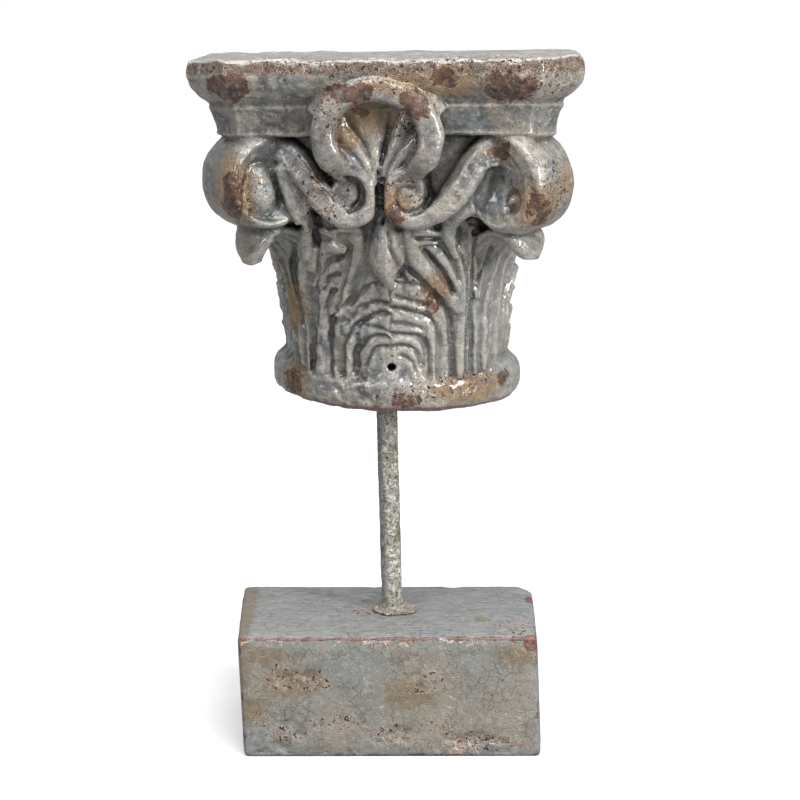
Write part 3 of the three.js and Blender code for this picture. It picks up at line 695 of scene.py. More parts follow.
def makeBlock(s):
    bm = bmesh.new()
    size = Vector((s["width"], s["depth"], s["height"]))
    half = size / 2
    bmesh.ops.create_cube(bm, size=1)
    bmesh.ops.scale(bm, vec=size, verts=bm.verts[:])
    bmesh.ops.translate(bm, vec=up * s["height"] / 2, verts=bm.verts[:])
    bmesh.ops.bevel(bm, geom=bm.edges[:], offset=s["corner"], segments=4, profile=0.5, affect="EDGES",
                    material=-1)
    normal = Vector(s["chipFace"]).normalized()
    sliceFlat(bm, Vector((half.x, half.y, size.z)) - normal * s["chip"], normal)
    piece = newPiece(bm, "base_block_worn", "base_block")
    remeshPiece(piece, s["voxel"])
    bm = openMesh(piece)
    for vert in bm.verts:
        spot = vert.co.copy()
        if spot.z > 0.8:  # the underside stays flat
            vert.co = spot - vert.normal * wearAt(spot, half, s)
        vert.co.x *= 1 + s["rearFlare"] * (spot.y / size.y + 0.5) / half.x
        vert.co.x += s["lean"] * (s["leanFrom"] - spot.z)
        vert.co.x += math.copysign(s["batter"] * (1 - spot.z / size.z), spot.x)
        vert.co *= toMetres
    bm.to_mesh(piece.data)
    bm.free()
    foot = Vector(rodSize["foot"])
    cutHoles(piece, [roundCutter("bore", foot, rodAxis(rodSize), s["bore"], 2 * s["boreDepth"])])
    piece.data.shade_smooth()
    print("block worn:", len(piece.data.polygons))
    return piece


collarSize = {"inner": 6.75, "outer": 12.4, "height": 4.4, "foot": (2.0, 0.0, 75.1), "steps": 96}


def makeCollar(s):
    bm = bmesh.new()
    inner, outer, high = s["inner"], s["outer"], s["height"]
    section = [
        (inner, 0), (outer, 0), (outer + 0.5, 0.8), (outer - 0.2, 1.7), (outer - 1.9, 2.5),
        (outer - 3.6, 3.2), (inner + 0.9, high), (inner, high - 0.2),
    ]
    ring = [bm.verts.new((r, 0, z)) for r, z in section]
    edges = [bm.edges.new((a, b)) for a, b in zip(ring, ring[1:] + ring[:1])]
    bmesh.ops.subdivide_edges(bm, edges=edges, cuts=3, use_grid_fill=False)
    bmesh.ops.spin(bm, geom=bm.verts[:] + bm.edges[:], cent=(0, 0, 0), axis=(0, 0, 1), angle=2 * math.pi,
                   steps=s["steps"], use_merge=True)
    bmesh.ops.remove_doubles(bm, verts=bm.verts[:], dist=0.001)
    bmesh.ops.recalc_face_normals(bm, faces=bm.faces[:])
    for i in range(2):
        soften(bm, [v for v in bm.verts if v.co.z > 0.4 and v.co.xy.length > inner + 0.3])
    for vert in bm.verts:
        free = smoothStep(inner + 0.2, inner + 2, vert.co.xy.length)
        angle = math.atan2(vert.co.y, vert.co.x)
        lobe = 1.5 * noise.noise((1.4 * math.cos(angle), 1.4 * math.sin(angle), 4.2)) + 0.5 * math.cos(angle)
        lump = uneven(vert.co, 5, 3)
        vert.co.xy *= 1 + free * (1.2 * lobe + 1.3 * lump) / outer
        vert.co.z *= 1 + 0.3 * uneven(vert.co, 4.5, 3) + 0.14 * uneven(vert.co, 1.8, 2)
    bmesh.ops.translate(bm, vec=s["foot"], verts=bm.verts[:])
    bmesh.ops.scale(bm, vec=(toMetres, toMetres, toMetres), verts=bm.verts[:])
    piece = newPiece(bm, "grout_lumps", "grout_collar")
    piece.data.shade_smooth()
    print("grout laid:", len(piece.data.polygons))
    return piece


capital = makeCapital(capitalSize)
block = makeBlock(blockSize)
rod = makeRod(rodSize)
collar = makeCollar(collarSize)


def paintMask(piece, name, values):
    piece.data.attributes.new(name, "FLOAT", "POINT").data.foreach_set("value", values)


def hollowness(bm, reach, count=36):  # share of the sky that near surfaces hide from each vertex
    tree = BVHTree.FromBMesh(bm)
    ways = []
    for k in range(count):
        z = 1 - (2 * k + 1) / count
        angle = k * 2.399963  # the golden angle spreads the ways evenly
        flat = math.sqrt(1 - z * z)
        ways.append(Vector((flat * math.cos(angle), flat * math.sin(angle), z)))
    found = []
    for vert in bm.verts:
        start = vert.co + vert.normal * 0.0004
        seen = [way for way in ways if way.dot(vert.normal) > 0.2]
        shut = 0.0
        for way in seen:
            gap = tree.ray_cast(start, way, reach)[3]
            if gap is not None:
                shut += 1 - 0.7 * gap / reach
        found.append(shut / max(1, len(seen)))
    return found


def sharpness(bm, passes, scale):  # how far each vertex stands out from a smoothed copy, up to 1
    soft = bm.copy()
    for i in range(passes):
        soften(soft, soft.verts[:])
    found = [max(-1.0, min(1.0, (a.co - b.co).dot(a.normal) / scale)) for a, b in zip(bm.verts, soft.verts)]
    soft.free()
    return found


def patchShare(spot, patches):  # 1 in the middle of a patch, 0.5 at its rim, 0 well outside
    share = 0.0
    for middle, wide, high in patches:
        gap = spot - middle
        deep = 1.3 * max(wide, high)
        away = math.sqrt((gap.x / wide) ** 2 + (gap.z / high) ** 2 + (gap.y / deep) ** 2)
        share = max(share, 1 - away / 2)
    return share


capitalWear = {  # across, reach, height, half width, half height in mm
    # the pale patches are painted light
    "pale": [(60, 52, 56, 16, 40), (-33, 75, 86, 16, 20), (24, 78, 40, 16, 20), (22, 80, 92, 12, 14)],
    # shade patches: darker bluish-grey glaze on the horseshoe's left, painted shade at the other places
    "shade": [(-33, 120, 163, 14, 26), (-96, 95, 140, 16, 26), (32, 98, 150, 16, 14), (-22, 108, 128, 7, 7)],
    "brown": [
        (-84, 114, 187, 13, 7), (69, 115, 187, 14, 8), (33, 115, 192, 9, 5), (-19, 120, 184, 12, 6),
        (17, 120, 178, 9, 8), (-84, 98, 128, 6, 17), (83, 98, 123, 7, 12), (63, 98, 152, 6, 5),
        (4, 107, 117, 6, 8), (-12, 106, 173, 5, 3), (24, 77, 63, 4, 8), (-62, 45, 8, 9, 9), (7, 76, 6, 6, 5),
        (65, 40, 14, 6, 4), (14, 76, 6, 3, 3),
    ],
    "ochre": [
        (-8, 106, 171, 17, 9), (-21, 106, 160, 8, 8), (45, 62, 11, 26, 8), (-59, 50, 57, 10, 16),
        (12, 117, 190, 22, 7), (38, 114, 190, 14, 9), (26, 77, 72, 9, 10), (96, 80, 134, 8, 14),
        (-62, 45, 10, 14, 12), (4, 107, 122, 9, 12), (-84, 98, 128, 11, 22), (83, 98, 123, 12, 16),
    ],
    "crust": [
        (-40, 114, 198, 60, 7), (50, 114, 197, 60, 9), (70, 115, 184, 24, 12), (-32, 119, 172, 12, 16),
        (0, 120, 188, 30, 8), (-80, 98, 128, 14, 26), (90, 90, 128, 16, 26), (10, 107, 127, 16, 16),
        (12, 106, 164, 10, 14), (8, 76, 9, 22, 9), (40, 64, 14, 34, 9), (-62, 45, 10, 16, 14),
        (-34, 105, 128, 20, 24), (22, 77, 68, 14, 18), (84, 112, 190, 26, 14),
    ],
}


def wearCapital(piece, s, wear):
    bm = openMesh(piece)
    turn = capitalPlace(s)
    home = turn.inverted()
    measure = lineMasks(s)
    top = s["height"]
    # painted shade: this mask darkens the glaze where near surfaces hide the sky
    paintMask(piece, "recess", hollowness(bm, 0.026))
    # the ridge mask paints shade in creases and highlights on crests, and also places crackle and pits
    paintMask(piece, "ridge", sharpness(bm, 12, 0.0006))
    for name, rows in wear.items():
        patches = [(turn @ warpPoint(Vector((x, -reach, z)), s), wide, high)
                   for x, reach, z, wide, high in rows]
        paintMask(piece, name, [patchShare(vert.co * toMm, patches) for vert in bm.verts])
    rows = {"groove": [], "crack": [], "hem": [], "lid": [], "edge": []}
    for vert in bm.verts:
        spot = unwarpPoint(home @ (vert.co * toMm), s)
        cut, crack = measure(spot + vert.normal * 2)
        rows["groove"].append(smoothStep(0.9, 2.2, cut))
        rows["crack"].append(crack)
        rows["hem"].append(smoothStep(3.2, 0.2, spot.z) * smoothStep(60, 68, spot.xy.length))
        rows["edge"].append(smoothStep(top - 13, top - 5, spot.z) * smoothStep(0.9, 0.4, vert.normal.z))
        rows["lid"].append(smoothStep(top - 6, top - 2, spot.z) * smoothStep(0.5, 0.9, vert.normal.z))
    for name, values in rows.items():
        paintMask(piece, name, values)
    back = turn.to_3x3() @ -front
    rear = Vector(s["place"]).dot(back)
    paintMask(piece, "bare", [smoothStep(-4, -1, (vert.co * toMm).dot(back) - rear) for vert in bm.verts])
    bm.free()
    print("capital wear painted")


def linear(*tone):  # screen tone, 0 to 255, as scene colour
    return (*(((v / 255 + 0.055) / 1.055) ** 2.4 for v in tone), 1)


def palette(tones):
    return {name: linear(*tone) for name, tone in tones.items()}


def feed(tree, made, inputs):  # a socket is linked, a plain value is set
    for key, value in inputs.items():
        if isinstance(value, bpy.types.NodeSocket):
            tree.links.new(value, made.inputs[key])
        else:
            made.inputs[key].default_value = value
    return made


def node(tree, kind, inputs, **settings):
    made = tree.nodes.new("ShaderNode" + kind)
    for name, value in settings.items():
        setattr(made, name, value)
    return feed(tree, made, inputs)


def blend(tree, share, first, second, mode="MIX"):
    return node(tree, "Mix", {0: share, 6: first, 7: second}, data_type="RGBA", blend_type=mode).outputs[2]


def ramp(tree, value, low, high, least=0.0, most=1.0):
    limits = {"From Min": low, "From Max": high, "To Min": least, "To Max": most}
    return node(tree, "MapRange", {"Value": value, **limits}, interpolation_type="SMOOTHSTEP").outputs[0]


def maths(tree, operation, *values):
    return node(tree, "Math", dict(enumerate(values)), operation=operation).outputs[0]


def times(tree, a, b):
    return maths(tree, "MULTIPLY", a, b)


def plus(tree, a, b):
    return maths(tree, "ADD", a, b)


def minus(tree, a, b):
    return maths(tree, "SUBTRACT", a, b)


def larger(tree, a, b):
    return maths(tree, "MAXIMUM", a, b)


def cloud(tree, place, scale, detail=4, rough=0.55, bend=0.0):
    settings = {"Scale": scale, "Detail": detail, "Roughness": rough, "Distortion": bend}
    return node(tree, "TexNoise", {"Vector": place, **settings}).outputs[0]


def tint(tree, tone, share, strength, colour):
    return blend(tree, times(tree, share, strength), tone, colour)


def mottle(tree, value, low, high, first, second):
    return blend(tree, ramp(tree, value, low, high), first, second)


def ragged(tree, mask, grain, share, low, high, most=1.0):  # a mask whose rim the grain breaks up
    return ramp(tree, plus(tree, mask, times(tree, grain, share)), low, high, 0.0, most)


def newGroup(name, takes, gives):
    tree = bpy.data.node_groups.new(name, "ShaderNodeTree")
    for title, kind in takes.items():
        tree.interface.new_socket(title, in_out="INPUT", socket_type="NodeSocket" + kind)
    for title, kind in gives.items():
        tree.interface.new_socket(title, in_out="OUTPUT", socket_type="NodeSocket" + kind)
    return tree, tree.nodes.new("NodeGroupInput").outputs, tree.nodes.new("NodeGroupOutput").inputs


def useGroup(tree, group, inputs):
    made = tree.nodes.new("ShaderNodeGroup")
    made.node_tree = group
    return feed(tree, made, inputs).outputs


def makeGlazeTone():  # large clouds, dark blots, pale flecks, dark specks and a fine grain
    takes = {"Place": "Vector", "Cool": "Color", "Warm": "Color", "Dark": "Color", "Pale": "Color",
             "Coarse": "Float", "Contrast": "Float"}
    tree, take, give = newGroup("glazeTone", takes, {"Tone": "Color"})
    place, contrast = take["Place"], take["Contrast"]
    tone = mottle(tree, cloud(tree, place, take["Coarse"], 5, 0.6, 0.6), 0.4, 0.6, take["Cool"], take["Warm"])
    blots = ramp(tree, cloud(tree, place, 95, 7, 0.72, 0.6), 0.46, 0.66)
    tone = tint(tree, tone, blots, contrast, take["Dark"])
    flecks = ramp(tree, cloud(tree, place, 300, 5, 0.7, 0.4), 0.54, 0.66)
    tone = tint(tree, tone, flecks, contrast, take["Pale"])
    specks = ramp(tree, cloud(tree, place, 620, 4, 0.7), 0.59, 0.66)
    tone = tint(tree, tone, specks, contrast, take["Dark"])
    grains = ramp(tree, cloud(tree, place, 1100, 4, 0.8), 0.32, 0.68, 0.72, 1.24)
    tone = blend(tree, contrast, tone, blend(tree, 1.0, tone, grains, "MULTIPLY"))
    tree.links.new(tone, give["Tone"])
    return tree


def makeCrackle():
    takes = {"Place": "Vector", "Scale": "Float", "Width": "Float"}
    tree, take, give = newGroup("crackle", takes, {"Lines": "Float"})
    wander = node(tree, "TexNoise", {"Vector": take["Place"], "Scale": 220.0, "Detail": 3.0}).outputs["Color"]
    wander = node(tree, "VectorMath", {0: wander, 1: (0.5, 0.5, 0.5)}, operation="SUBTRACT").outputs[0]
    stray = {0: wander, 1: (0.005, 0.005, 0.005), 2: take["Place"]}
    moved = node(tree, "VectorMath", stray, operation="MULTIPLY_ADD").outputs[0]
    cells = node(tree, "TexVoronoi", {"Vector": moved, "Scale": take["Scale"]}, feature="DISTANCE_TO_EDGE")
    lines = ramp(tree, cells.outputs["Distance"], take["Width"], 0.0)
    tree.links.new(lines, give["Lines"])
    return tree


def makePits():  # ragged little holes with a pale lip
    takes = {"Place": "Vector", "Scale": "Float", "Amount": "Float"}
    tree, take, give = newGroup("pits", takes, {"Pit": "Float", "Rim": "Float"})
    specks = cloud(tree, take["Place"], take["Scale"], 3, 0.6, 0.8)
    level = ramp(tree, take["Amount"], 0.0, 1.0, 0.9, 0.575)
    pit = ramp(tree, specks, level, plus(tree, level, 0.035))
    halo = ramp(tree, specks, minus(tree, level, 0.07), minus(tree, level, 0.01))
    tree.links.new(pit, give["Pit"])
    tree.links.new(minus(tree, halo, pit), give["Rim"])
    return tree


def makeCrust():  # lumps and dark crevices of a crumbly skin
    takes = {"Place": "Vector", "Scale": "Float"}
    tree, take, give = newGroup("crust", takes, {"Lump": "Float", "Speck": "Float"})
    lumps = ramp(tree, cloud(tree, take["Place"], take["Scale"], 5, 0.75, 0.6), 0.38, 0.62)
    fine = times(tree, take["Scale"], 2.6)
    specks = ramp(tree, cloud(tree, take["Place"], fine, 5, 0.75, 0.3), 0.53, 0.6)
    tree.links.new(lumps, give["Lump"])
    tree.links.new(specks, give["Speck"])
    return tree


glazeTone = makeGlazeTone()
crackle = makeCrackle()
pits = makePits()
crust = makeCrust()


def newMaterial(piece, name):
    material = bpy.data.materials.new(name)
    material.use_nodes = True
    piece.data.materials.clear()
    piece.data.materials.append(material)
    tree = material.node_tree
    return tree, tree.nodes["Principled BSDF"], node(tree, "TexCoord", {}).outputs["Object"]


def readMasks(tree, names):
    return {name: node(tree, "Attribute", {}, attribute_name=name).outputs["Fac"] for name in names.split()}


def finishMaterial(tree, shader, tone, rough, height, depth):
    bump = node(tree, "Bump", {"Height": height, "Distance": depth, "Strength": 1.0}).outputs[0]
    feed(tree, shader, {"Base Color": tone, "Roughness": rough, "Normal": bump})


capitalTones = {  # screen tones, 0 to 255
    "cool": (116, 121, 124), "warm": (146, 139, 126), "dark": (74, 72, 69), "pale": (180, 174, 164),
    # the next tones include painted shade for creases and recesses, a painted highlight for crests, and
    # painted light for lit patches and the abacus top
    "creaseShade": (54, 52, 50), "crest": (186, 180, 170), "shade": (80, 82, 84), "light": (190, 186, 178),
    "paintedTopLight": (198, 192, 184), "rust": (150, 120, 80), "oldRust": (112, 94, 72),
    "stain": (64, 49, 42), "faintStain": (120, 98, 82), "hollow": (42, 41, 41),
    "crack": (206, 180, 164), "crackle": (70, 66, 62), "pitRim": (188, 164, 146), "pit": (40, 29, 26),
    "lostRim": (178, 144, 112), "darkClay": (48, 33, 29), "clay": (108, 72, 55), "hem": (118, 72, 58),
    "dryClay": (150, 120, 98), "dampClay": (120, 94, 78),
}


def glazeCapital(piece):
    tree, shader, place = newMaterial(piece, "capitalGlaze")
    c = palette(capitalTones)
    mask = readMasks(tree, "recess ridge brown ochre crust shade pale groove crack hem lid edge bare")
    glaze = {"Cool": c["cool"], "Warm": c["warm"], "Dark": c["dark"], "Pale": c["pale"]}
    tone = useGroup(tree, glazeTone, {"Place": place, **glaze, "Coarse": 34.0, "Contrast": 0.9})["Tone"]
    grain = cloud(tree, place, 260, 5, 0.7)
    # painted shade in concave creases, then a painted highlight along convex crests
    tone = blend(tree, ramp(tree, mask["ridge"], -0.08, -0.7, 0, 0.6), tone, c["creaseShade"])
    tone = blend(tree, ramp(tree, mask["ridge"], 0.04, 0.7, 0, 0.5), tone, c["crest"])
    # shade patches: darker glaze on the horseshoe's left, painted shade at the other places
    tone = tint(tree, tone, mask["shade"], 0.6, c["shade"])
    # painted light on the pale patches
    tone = tint(tree, tone, mask["pale"], 0.4, c["light"])
    # painted light: the upward faces of the abacus top made paler
    tone = blend(tree, ragged(tree, mask["lid"], grain, 0.5, 0.5, 1.3, 0.8), tone, c["paintedTopLight"])
    rust = ragged(tree, mask["ochre"], grain, 0.7, 0.68, 1.0, 0.85)
    tone = blend(tree, rust, tone, mottle(tree, grain, 0.35, 0.65, c["rust"], c["oldRust"]))
    stain = ramp(tree, plus(tree, mask["edge"], cloud(tree, place, 80, 5, 0.65)), 0.95, 1.5, 0, 0.85)
    tone = blend(tree, stain, tone, mottle(tree, grain, 0.4, 0.6, c["stain"], c["faintStain"]))
    # painted shade in recesses and along the cut grooves
    hollow = ramp(tree, mask["recess"], 0.26, 0.76, 0, 0.84)
    tone = blend(tree, larger(tree, hollow, times(tree, mask["groove"], 0.36)), tone, c["hollow"])
    crusted = larger(tree, mask["crust"], times(tree, mask["edge"], 0.8))
    crusty = ragged(tree, crusted, grain, 0.6, 0.55, 1.1)
    lines = useGroup(tree, crackle, {"Place": place, "Scale": 150.0, "Width": 0.05})["Lines"]
    cracks = times(tree, lines, larger(tree, ramp(tree, mask["ridge"], 0.15, 0.8), crusty))
    cracks = times(tree, cracks, ramp(tree, cloud(tree, place, 75, 4, 0.6), 0.42, 0.56))
    cracks = larger(tree, cracks, ragged(tree, mask["crack"], grain, 0.9, 0.9, 1.2))
    tone = tint(tree, tone, cracks, 0.8, c["crack"])
    tone = tint(tree, tone, lines, 0.28, c["crackle"])
    rubbed = ramp(tree, plus(tree, mask["ridge"], cloud(tree, place, 45, 3)), 0.6, 1.4, 0, 0.7)
    amount = larger(tree, crusty, rubbed)
    holes = useGroup(tree, pits, {"Place": place, "Scale": 480.0, "Amount": amount})
    tone = tint(tree, tone, holes["Rim"], 0.45, c["pitRim"])
    tone = blend(tree, holes["Pit"], tone, c["pit"])
    bays = ramp(tree, cloud(tree, place, 130, 6, 0.68, 0.4), 0.2, 0.8, -0.3, 0.3)
    broken = plus(tree, mask["brown"], bays)
    lost = ramp(tree, broken, 0.46, 0.54)  # where the glaze is gone
    tone = tint(tree, tone, minus(tree, ramp(tree, broken, 0.38, 0.47), lost), 0.6, c["lostRim"])
    clay = mottle(tree, cloud(tree, place, 210, 6, 0.72), 0.36, 0.64, c["darkClay"], c["clay"])
    tone = blend(tree, times(tree, lost, ramp(tree, grain, 0.34, 0.52, 0.4, 0.94)), tone, clay)
    tone = blend(tree, ragged(tree, mask["hem"], grain, 0.6, 0.7, 1.1, 0.85), tone, c["hem"])
    dry = mottle(tree, cloud(tree, place, 60, 5, 0.7), 0.35, 0.65, c["dryClay"], c["dampClay"])
    tone = blend(tree, mask["bare"], tone, dry)
    matt = larger(tree, larger(tree, times(tree, lost, 0.5), mask["bare"]), holes["Pit"])
    height = plus(tree, times(tree, cloud(tree, place, 170, 3, 0.5), 1.3), times(tree, grain, 0.25))
    for dip, depth in ((holes["Pit"], 0.7), (cracks, 0.35), (lost, 0.4)):
        height = minus(tree, height, times(tree, dip, depth))
    feed(tree, shader, {"Coat Roughness": 0.06, "Coat Weight": ramp(tree, matt, 0, 1, 0.6, 0.0)})
    finishMaterial(tree, shader, tone, ramp(tree, matt, 0, 1, 0.17, 0.66), height, 0.0014)
    print("capital glazed")


blockWear = {  # centre x, y, z, half width, half height in mm
    "ochre": [
        ((-57, -49, 47), 20, 9), ((12, -49, 40), 16, 10), ((78, -49, 64), 16, 7), ((-87, 0, 75), 6, 60),
        ((55, -18, 75), 4, 3), ((-72, -49, 64), 14, 5), ((-80, -49, 30), 8, 8),
    ],
    "brown": [((84, -49, 71), 6, 5), ((88, 20, 72), 5, 6)],
    "crust": [
        ((-64, -49, 50), 12, 11), ((-46, -49, 48), 15, 9), ((18, -49, 46), 13, 9), ((30, -49, 51), 10, 7),
        ((52, -49, 9), 26, 8), ((-60, -49, 14), 16, 10), ((0, -49, 16), 18, 8), ((-30, -49, 22), 22, 6),
        ((30, -49, 18), 14, 6), ((-72, -49, 24), 12, 8), ((-15, 0, 75), 12, 7), ((75, -35, 75), 16, 8),
        ((84, -49, 70), 14, 12),
    ],
}
blockTones = {  # screen tones, 0 to 255
    "cool": (130, 131, 127), "warm": (141, 134, 122), "dark": (106, 101, 94), "pale": (164, 158, 148),
    "slate": (120, 122, 122), "paleSlate": (160, 159, 156), "streak": (78, 76, 74), "blue": (128, 136, 140),
    "paleCrackle": (186, 178, 166), "darkCrackle": (82, 76, 70), "rust": (136, 118, 92),
    "oldRust": (112, 100, 84), "shard": (206, 178, 160), "pitRim": (198, 170, 152), "pit": (62, 42, 36),
    "darkClay": (82, 48, 40), "clay": (132, 90, 72),
}


def wearBlock(piece, s, wear):
    half = Vector((s["width"], s["depth"], s["height"])) / 2
    patches = {name: [(Vector(middle), wide, high) for middle, wide, high in rows]
               for name, rows in wear.items()}
    rows = {"arris": [], "foot": [], "lip": [], "top": [], **{name: [] for name in wear}}
    for vert in piece.data.vertices:
        spot = vert.co * toMm
        spot.x -= s["lean"] * (s["leanFrom"] - spot.z)
        spot.x /= 1 + s["rearFlare"] * (spot.y / s["depth"] + 0.5) / half.x
        gaps = sorted((half.x - abs(spot.x), half.y - abs(spot.y), half.z - abs(spot.z - half.z)))
        rows["arris"].append(smoothStep(6, 0.8, gaps[1]))
        rows["foot"].append(smoothStep(24, 2, spot.z))
        rows["lip"].append(smoothStep(-half.y + 3, -half.y + 0.5, spot.y) * smoothStep(66, 73, spot.z))
        rows["top"].append(smoothStep(0.4, 0.9, vert.normal.z))
        for name in wear:
            rows[name].append(patchShare(vert.co * toMm, patches[name]))
    for name, values in rows.items():
        paintMask(piece, name, values)
    print("block wear painted")


def glazeBlock(piece):
    tree, shader, place = newMaterial(piece, "blockGlaze")
    c = palette(blockTones)
    mask = readMasks(tree, "arris foot lip top ochre brown crust")
    glaze = {"Cool": c["cool"], "Warm": c["warm"], "Dark": c["dark"], "Pale": c["pale"]}
    tone = useGroup(tree, glazeTone, {"Place": place, **glaze, "Coarse": 20.0, "Contrast": 0.62})["Tone"]
    grain = cloud(tree, place, 240, 5, 0.7)
    drawn = node(tree, "Mapping", {"Vector": place, "Scale": (0.2, 1.0, 1.0)}).outputs[0]  # streaks along x
    slate = mottle(tree, cloud(tree, drawn, 700, 5, 0.7), 0.38, 0.66, c["slate"], c["paleSlate"])
    slate = blend(tree, ramp(tree, cloud(tree, drawn, 330, 5, 0.7), 0.62, 0.68, 0, 0.6), slate, c["streak"])
    tone = tint(tree, tone, mask["top"], 0.85, slate)
    blue = ramp(tree, plus(tree, mask["arris"], cloud(tree, place, 36, 4, 0.6)), 0.55, 1.0, 0, 0.5)
    tone = blend(tree, blue, tone, c["blue"])
    lines = useGroup(tree, crackle, {"Place": place, "Scale": 165.0, "Width": 0.035})["Lines"]
    gate = ramp(tree, cloud(tree, place, 55, 3), 0.42, 0.58)  # crackle is pale here, dark there
    tone = tint(tree, tone, lines, ramp(tree, gate, 0, 1, 0.55, 0.0), c["paleCrackle"])
    tone = tint(tree, tone, lines, ramp(tree, gate, 0, 1, 0.0, 0.75), c["darkCrackle"])
    rust = ragged(tree, mask["ochre"], grain, 0.9, 0.78, 1.15, 0.75)
    tone = blend(tree, rust, tone, mottle(tree, grain, 0.35, 0.65, c["rust"], c["oldRust"]))
    crusty = ragged(tree, mask["crust"], grain, 0.6, 0.6, 1.05)
    shards = useGroup(tree, crackle, {"Place": place, "Scale": 85.0, "Width": 0.06})["Lines"]
    shards = times(tree, shards, larger(tree, times(tree, mask["foot"], crusty), mask["lip"]))
    shards = times(tree, shards, ramp(tree, cloud(tree, place, 60, 4, 0.6), 0.4, 0.55))
    tone = tint(tree, tone, shards, 0.9, c["shard"])
    amount = larger(tree, crusty, times(tree, mask["lip"], 0.8))
    holes = useGroup(tree, pits, {"Place": place, "Scale": 420.0, "Amount": amount})
    tone = tint(tree, tone, holes["Rim"], 0.65, c["pitRim"])
    tone = blend(tree, holes["Pit"], tone, c["pit"])
    bays = ramp(tree, cloud(tree, place, 110, 5, 0.65), 0.25, 0.75, -0.3, 0.3)
    rubbed = plus(tree, plus(tree, mask["arris"], bays), times(tree, mask["lip"], 0.27))
    rubbed = larger(tree, ramp(tree, rubbed, 1.0, 1.06), ragged(tree, mask["brown"], grain, 0.5, 0.7, 0.78))
    clay = mottle(tree, cloud(tree, place, 300, 5, 0.7), 0.35, 0.65, c["darkClay"], c["clay"])
    tone = tint(tree, tone, rubbed, 0.85, clay)
    rough = ramp(tree, larger(tree, rubbed, holes["Pit"]), 0, 1, 0.28, 0.68)
    height = plus(tree, times(tree, cloud(tree, place, 120, 5, 0.6), 0.8), times(tree, grain, 0.5))
    for dip, depth in ((lines, 0.2), (plus(tree, holes["Pit"], shards), 0.5), (rubbed, 0.3)):
        height = minus(tree, height, times(tree, dip, depth))
    feed(tree, shader, {"Coat Weight": 0.25, "Coat Roughness": 0.15})
    finishMaterial(tree, shader, tone, rough, height, 0.001)
    print("block glazed")


rodTones = {  # screen tones, 0 to 255
    # shade is the painted shade of the rod's left side
    "low": (158, 153, 144), "high": (226, 220, 206), "shade": (122, 124, 128), "olive": (112, 98, 70),
    "speck": (84, 79, 70),
}


def crustRod(piece, s):
    tree, shader, place = newMaterial(piece, "rodCrust")
    c = palette(rodTones)
    crumbs = useGroup(tree, crust, {"Place": place, "Scale": 240.0})
    tone = blend(tree, crumbs["Lump"], c["low"], c["high"])
    parts = node(tree, "SeparateXYZ", {0: place}).outputs
    lean = math.tan(math.radians(s["lean"]))
    foot = Vector(s["foot"]) * toMetres
    middle = maths(tree, "MULTIPLY_ADD", parts["Z"], lean, foot.x - foot.z * lean)
    drift = ramp(tree, cloud(tree, place, 90, 4), 0, 1, -0.004, 0.004)
    shade = ramp(tree, plus(tree, minus(tree, parts["X"], middle), drift), -0.0005, -0.0045)
    tone = tint(tree, tone, shade, 0.55, c["shade"])  # painted shade, the left side darker
    tone = blend(tree, ramp(tree, cloud(tree, place, 70, 5, 0.65), 0.54, 0.62, 0, 0.6), tone, c["olive"])
    tone = tint(tree, tone, crumbs["Speck"], 0.8, c["speck"])
    height = minus(tree, crumbs["Lump"], crumbs["Speck"])
    feed(tree, shader, {"Metallic": 0.2})
    finishMaterial(tree, shader, tone, ramp(tree, crumbs["Speck"], 0, 1, 0.5, 0.74), height, 0.0006)
    print("rod finished")


groutTones = {"low": (150, 140, 124), "high": (204, 197, 184), "speck": (92, 80, 66), "footBrown": (84, 54, 44)}


def roughGrout(piece):
    tree, shader, place = newMaterial(piece, "roughGrout")
    c = palette(groutTones)
    crumbs = useGroup(tree, crust, {"Place": place, "Scale": 330.0})
    tone = blend(tree, crumbs["Lump"], c["low"], c["high"])
    tone = tint(tree, tone, crumbs["Speck"], 0.6, c["speck"])
    level = node(tree, "SeparateXYZ", {0: place}).outputs["Z"]
    footBrown = ramp(tree, maths(tree, "MULTIPLY_ADD", crumbs["Lump"], 0.0006, level), 0.0768, 0.0757)
    tone = tint(tree, tone, footBrown, 0.8, c["footBrown"])  # brown along the foot
    height = minus(tree, crumbs["Lump"], crumbs["Speck"])
    finishMaterial(tree, shader, tone, ramp(tree, crumbs["Lump"], 0, 1, 0.85, 0.7), height, 0.0008)
    print("grout finished")


wearCapital(capital, capitalSize, capitalWear)
glazeCapital(capital)
wearBlock(block, blockSize, blockWear)
glazeBlock(block)
crustRod(rod, rodSize)
roughGrout(collar)

studio = {  # metres, degrees, watts
    "lens": 85, "sensor": 36, "cameraAt": (0.003, -1.0956, 0.4492), "lookDown": 12.52, "lookAside": -0.19,
    "floor": 6, "floorBounce": (0.22, 0.22, 0.22, 1), "skyLight": (0.3, 0.31, 0.33, 1), "white": (1, 1, 1, 1),
    "ceiling": {"strength": 3.2, "spread": 50, "tilt": 18},
    "lamps": [  # name, place, aim, size, power
        ("key", (1.2, -0.9, 0.7), (0, 0, 0.28), (0.22, 0.45), 18),
        ("strip", (0.35, -0.9, 1.3), (0, 0, 0.3), (0.5, 0.06), 5),
        ("fill", (-0.9, -1.1, 0.7), (0, 0, 0.28), (0.12, 0.6), 4),
    ],
}


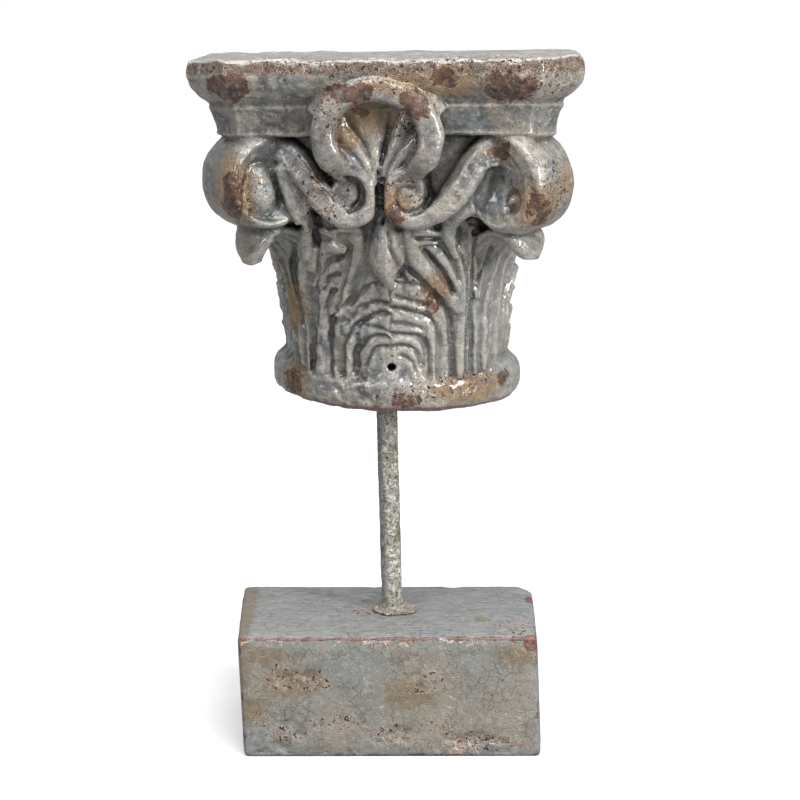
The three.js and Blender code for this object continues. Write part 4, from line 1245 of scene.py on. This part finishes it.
def setCamera(s):
    camera = bpy.data.objects.new("camera", bpy.data.cameras.new("camera"))
    camera.data.lens = s["lens"]
    camera.data.sensor_width = s["sensor"]
    camera.location = s["cameraAt"]
    camera.rotation_euler = (math.radians(90 - s["lookDown"]), 0, math.radians(s["lookAside"]))
    scene.collection.objects.link(camera)
    scene.camera = camera


def layFloor(s):  # white to the camera, darker to the light that bounces off it
    mesh = bpy.data.meshes.new("floor")
    bm = bmesh.new()
    bmesh.ops.create_grid(bm, x_segments=1, y_segments=1, size=s["floor"])
    bm.to_mesh(mesh)
    bm.free()
    floor = bpy.data.objects.new("floor", mesh)
    scene.collection.objects.link(floor)
    tree, shader, place = newMaterial(floor, "palePaper")
    paper = ramp(tree, cloud(tree, place, 300, 3), 0, 1, 0.86, 0.9)
    looked = node(tree, "LightPath", {}).outputs["Is Camera Ray"]
    feed(tree, shader, {"Base Color": blend(tree, looked, s["floorBounce"], paper), "Roughness": 0.9})


def setBackdrop(s):
    world = bpy.data.worlds.new("studio")
    scene.world = world
    world.use_nodes = True
    tree = world.node_tree
    seen = node(tree, "LightPath", {}).outputs["Is Camera Ray"]
    feed(tree, tree.nodes["Background"], {0: blend(tree, seen, s["skyLight"], s["white"]), 1: 1.0})
    scene.view_settings.view_transform = "Standard"


def addLight(name, place, aim, size, power):
    lamp = bpy.data.lights.new(name, "AREA")
    lamp.shape = "RECTANGLE"
    lamp.size, lamp.size_y = size
    lamp.energy = power
    holder = bpy.data.objects.new(name, lamp)
    holder.location = place
    holder.rotation_euler = (Vector(aim) - Vector(place)).to_track_quat("-Z", "Y").to_euler()
    scene.collection.objects.link(holder)


def addCeiling(strength, spread, tilt):  # even soft light from overhead
    lamp = bpy.data.lights.new("ceiling", "SUN")
    lamp.energy = strength
    lamp.angle = math.radians(spread)
    holder = bpy.data.objects.new("ceiling", lamp)
    holder.rotation_euler = (math.radians(tilt), 0, 0)
    scene.collection.objects.link(holder)


setCamera(studio)
layFloor(studio)
setBackdrop(studio)
addCeiling(**studio["ceiling"])
for lampRow in studio["lamps"]:
    addLight(*lampRow)
print("studio set")
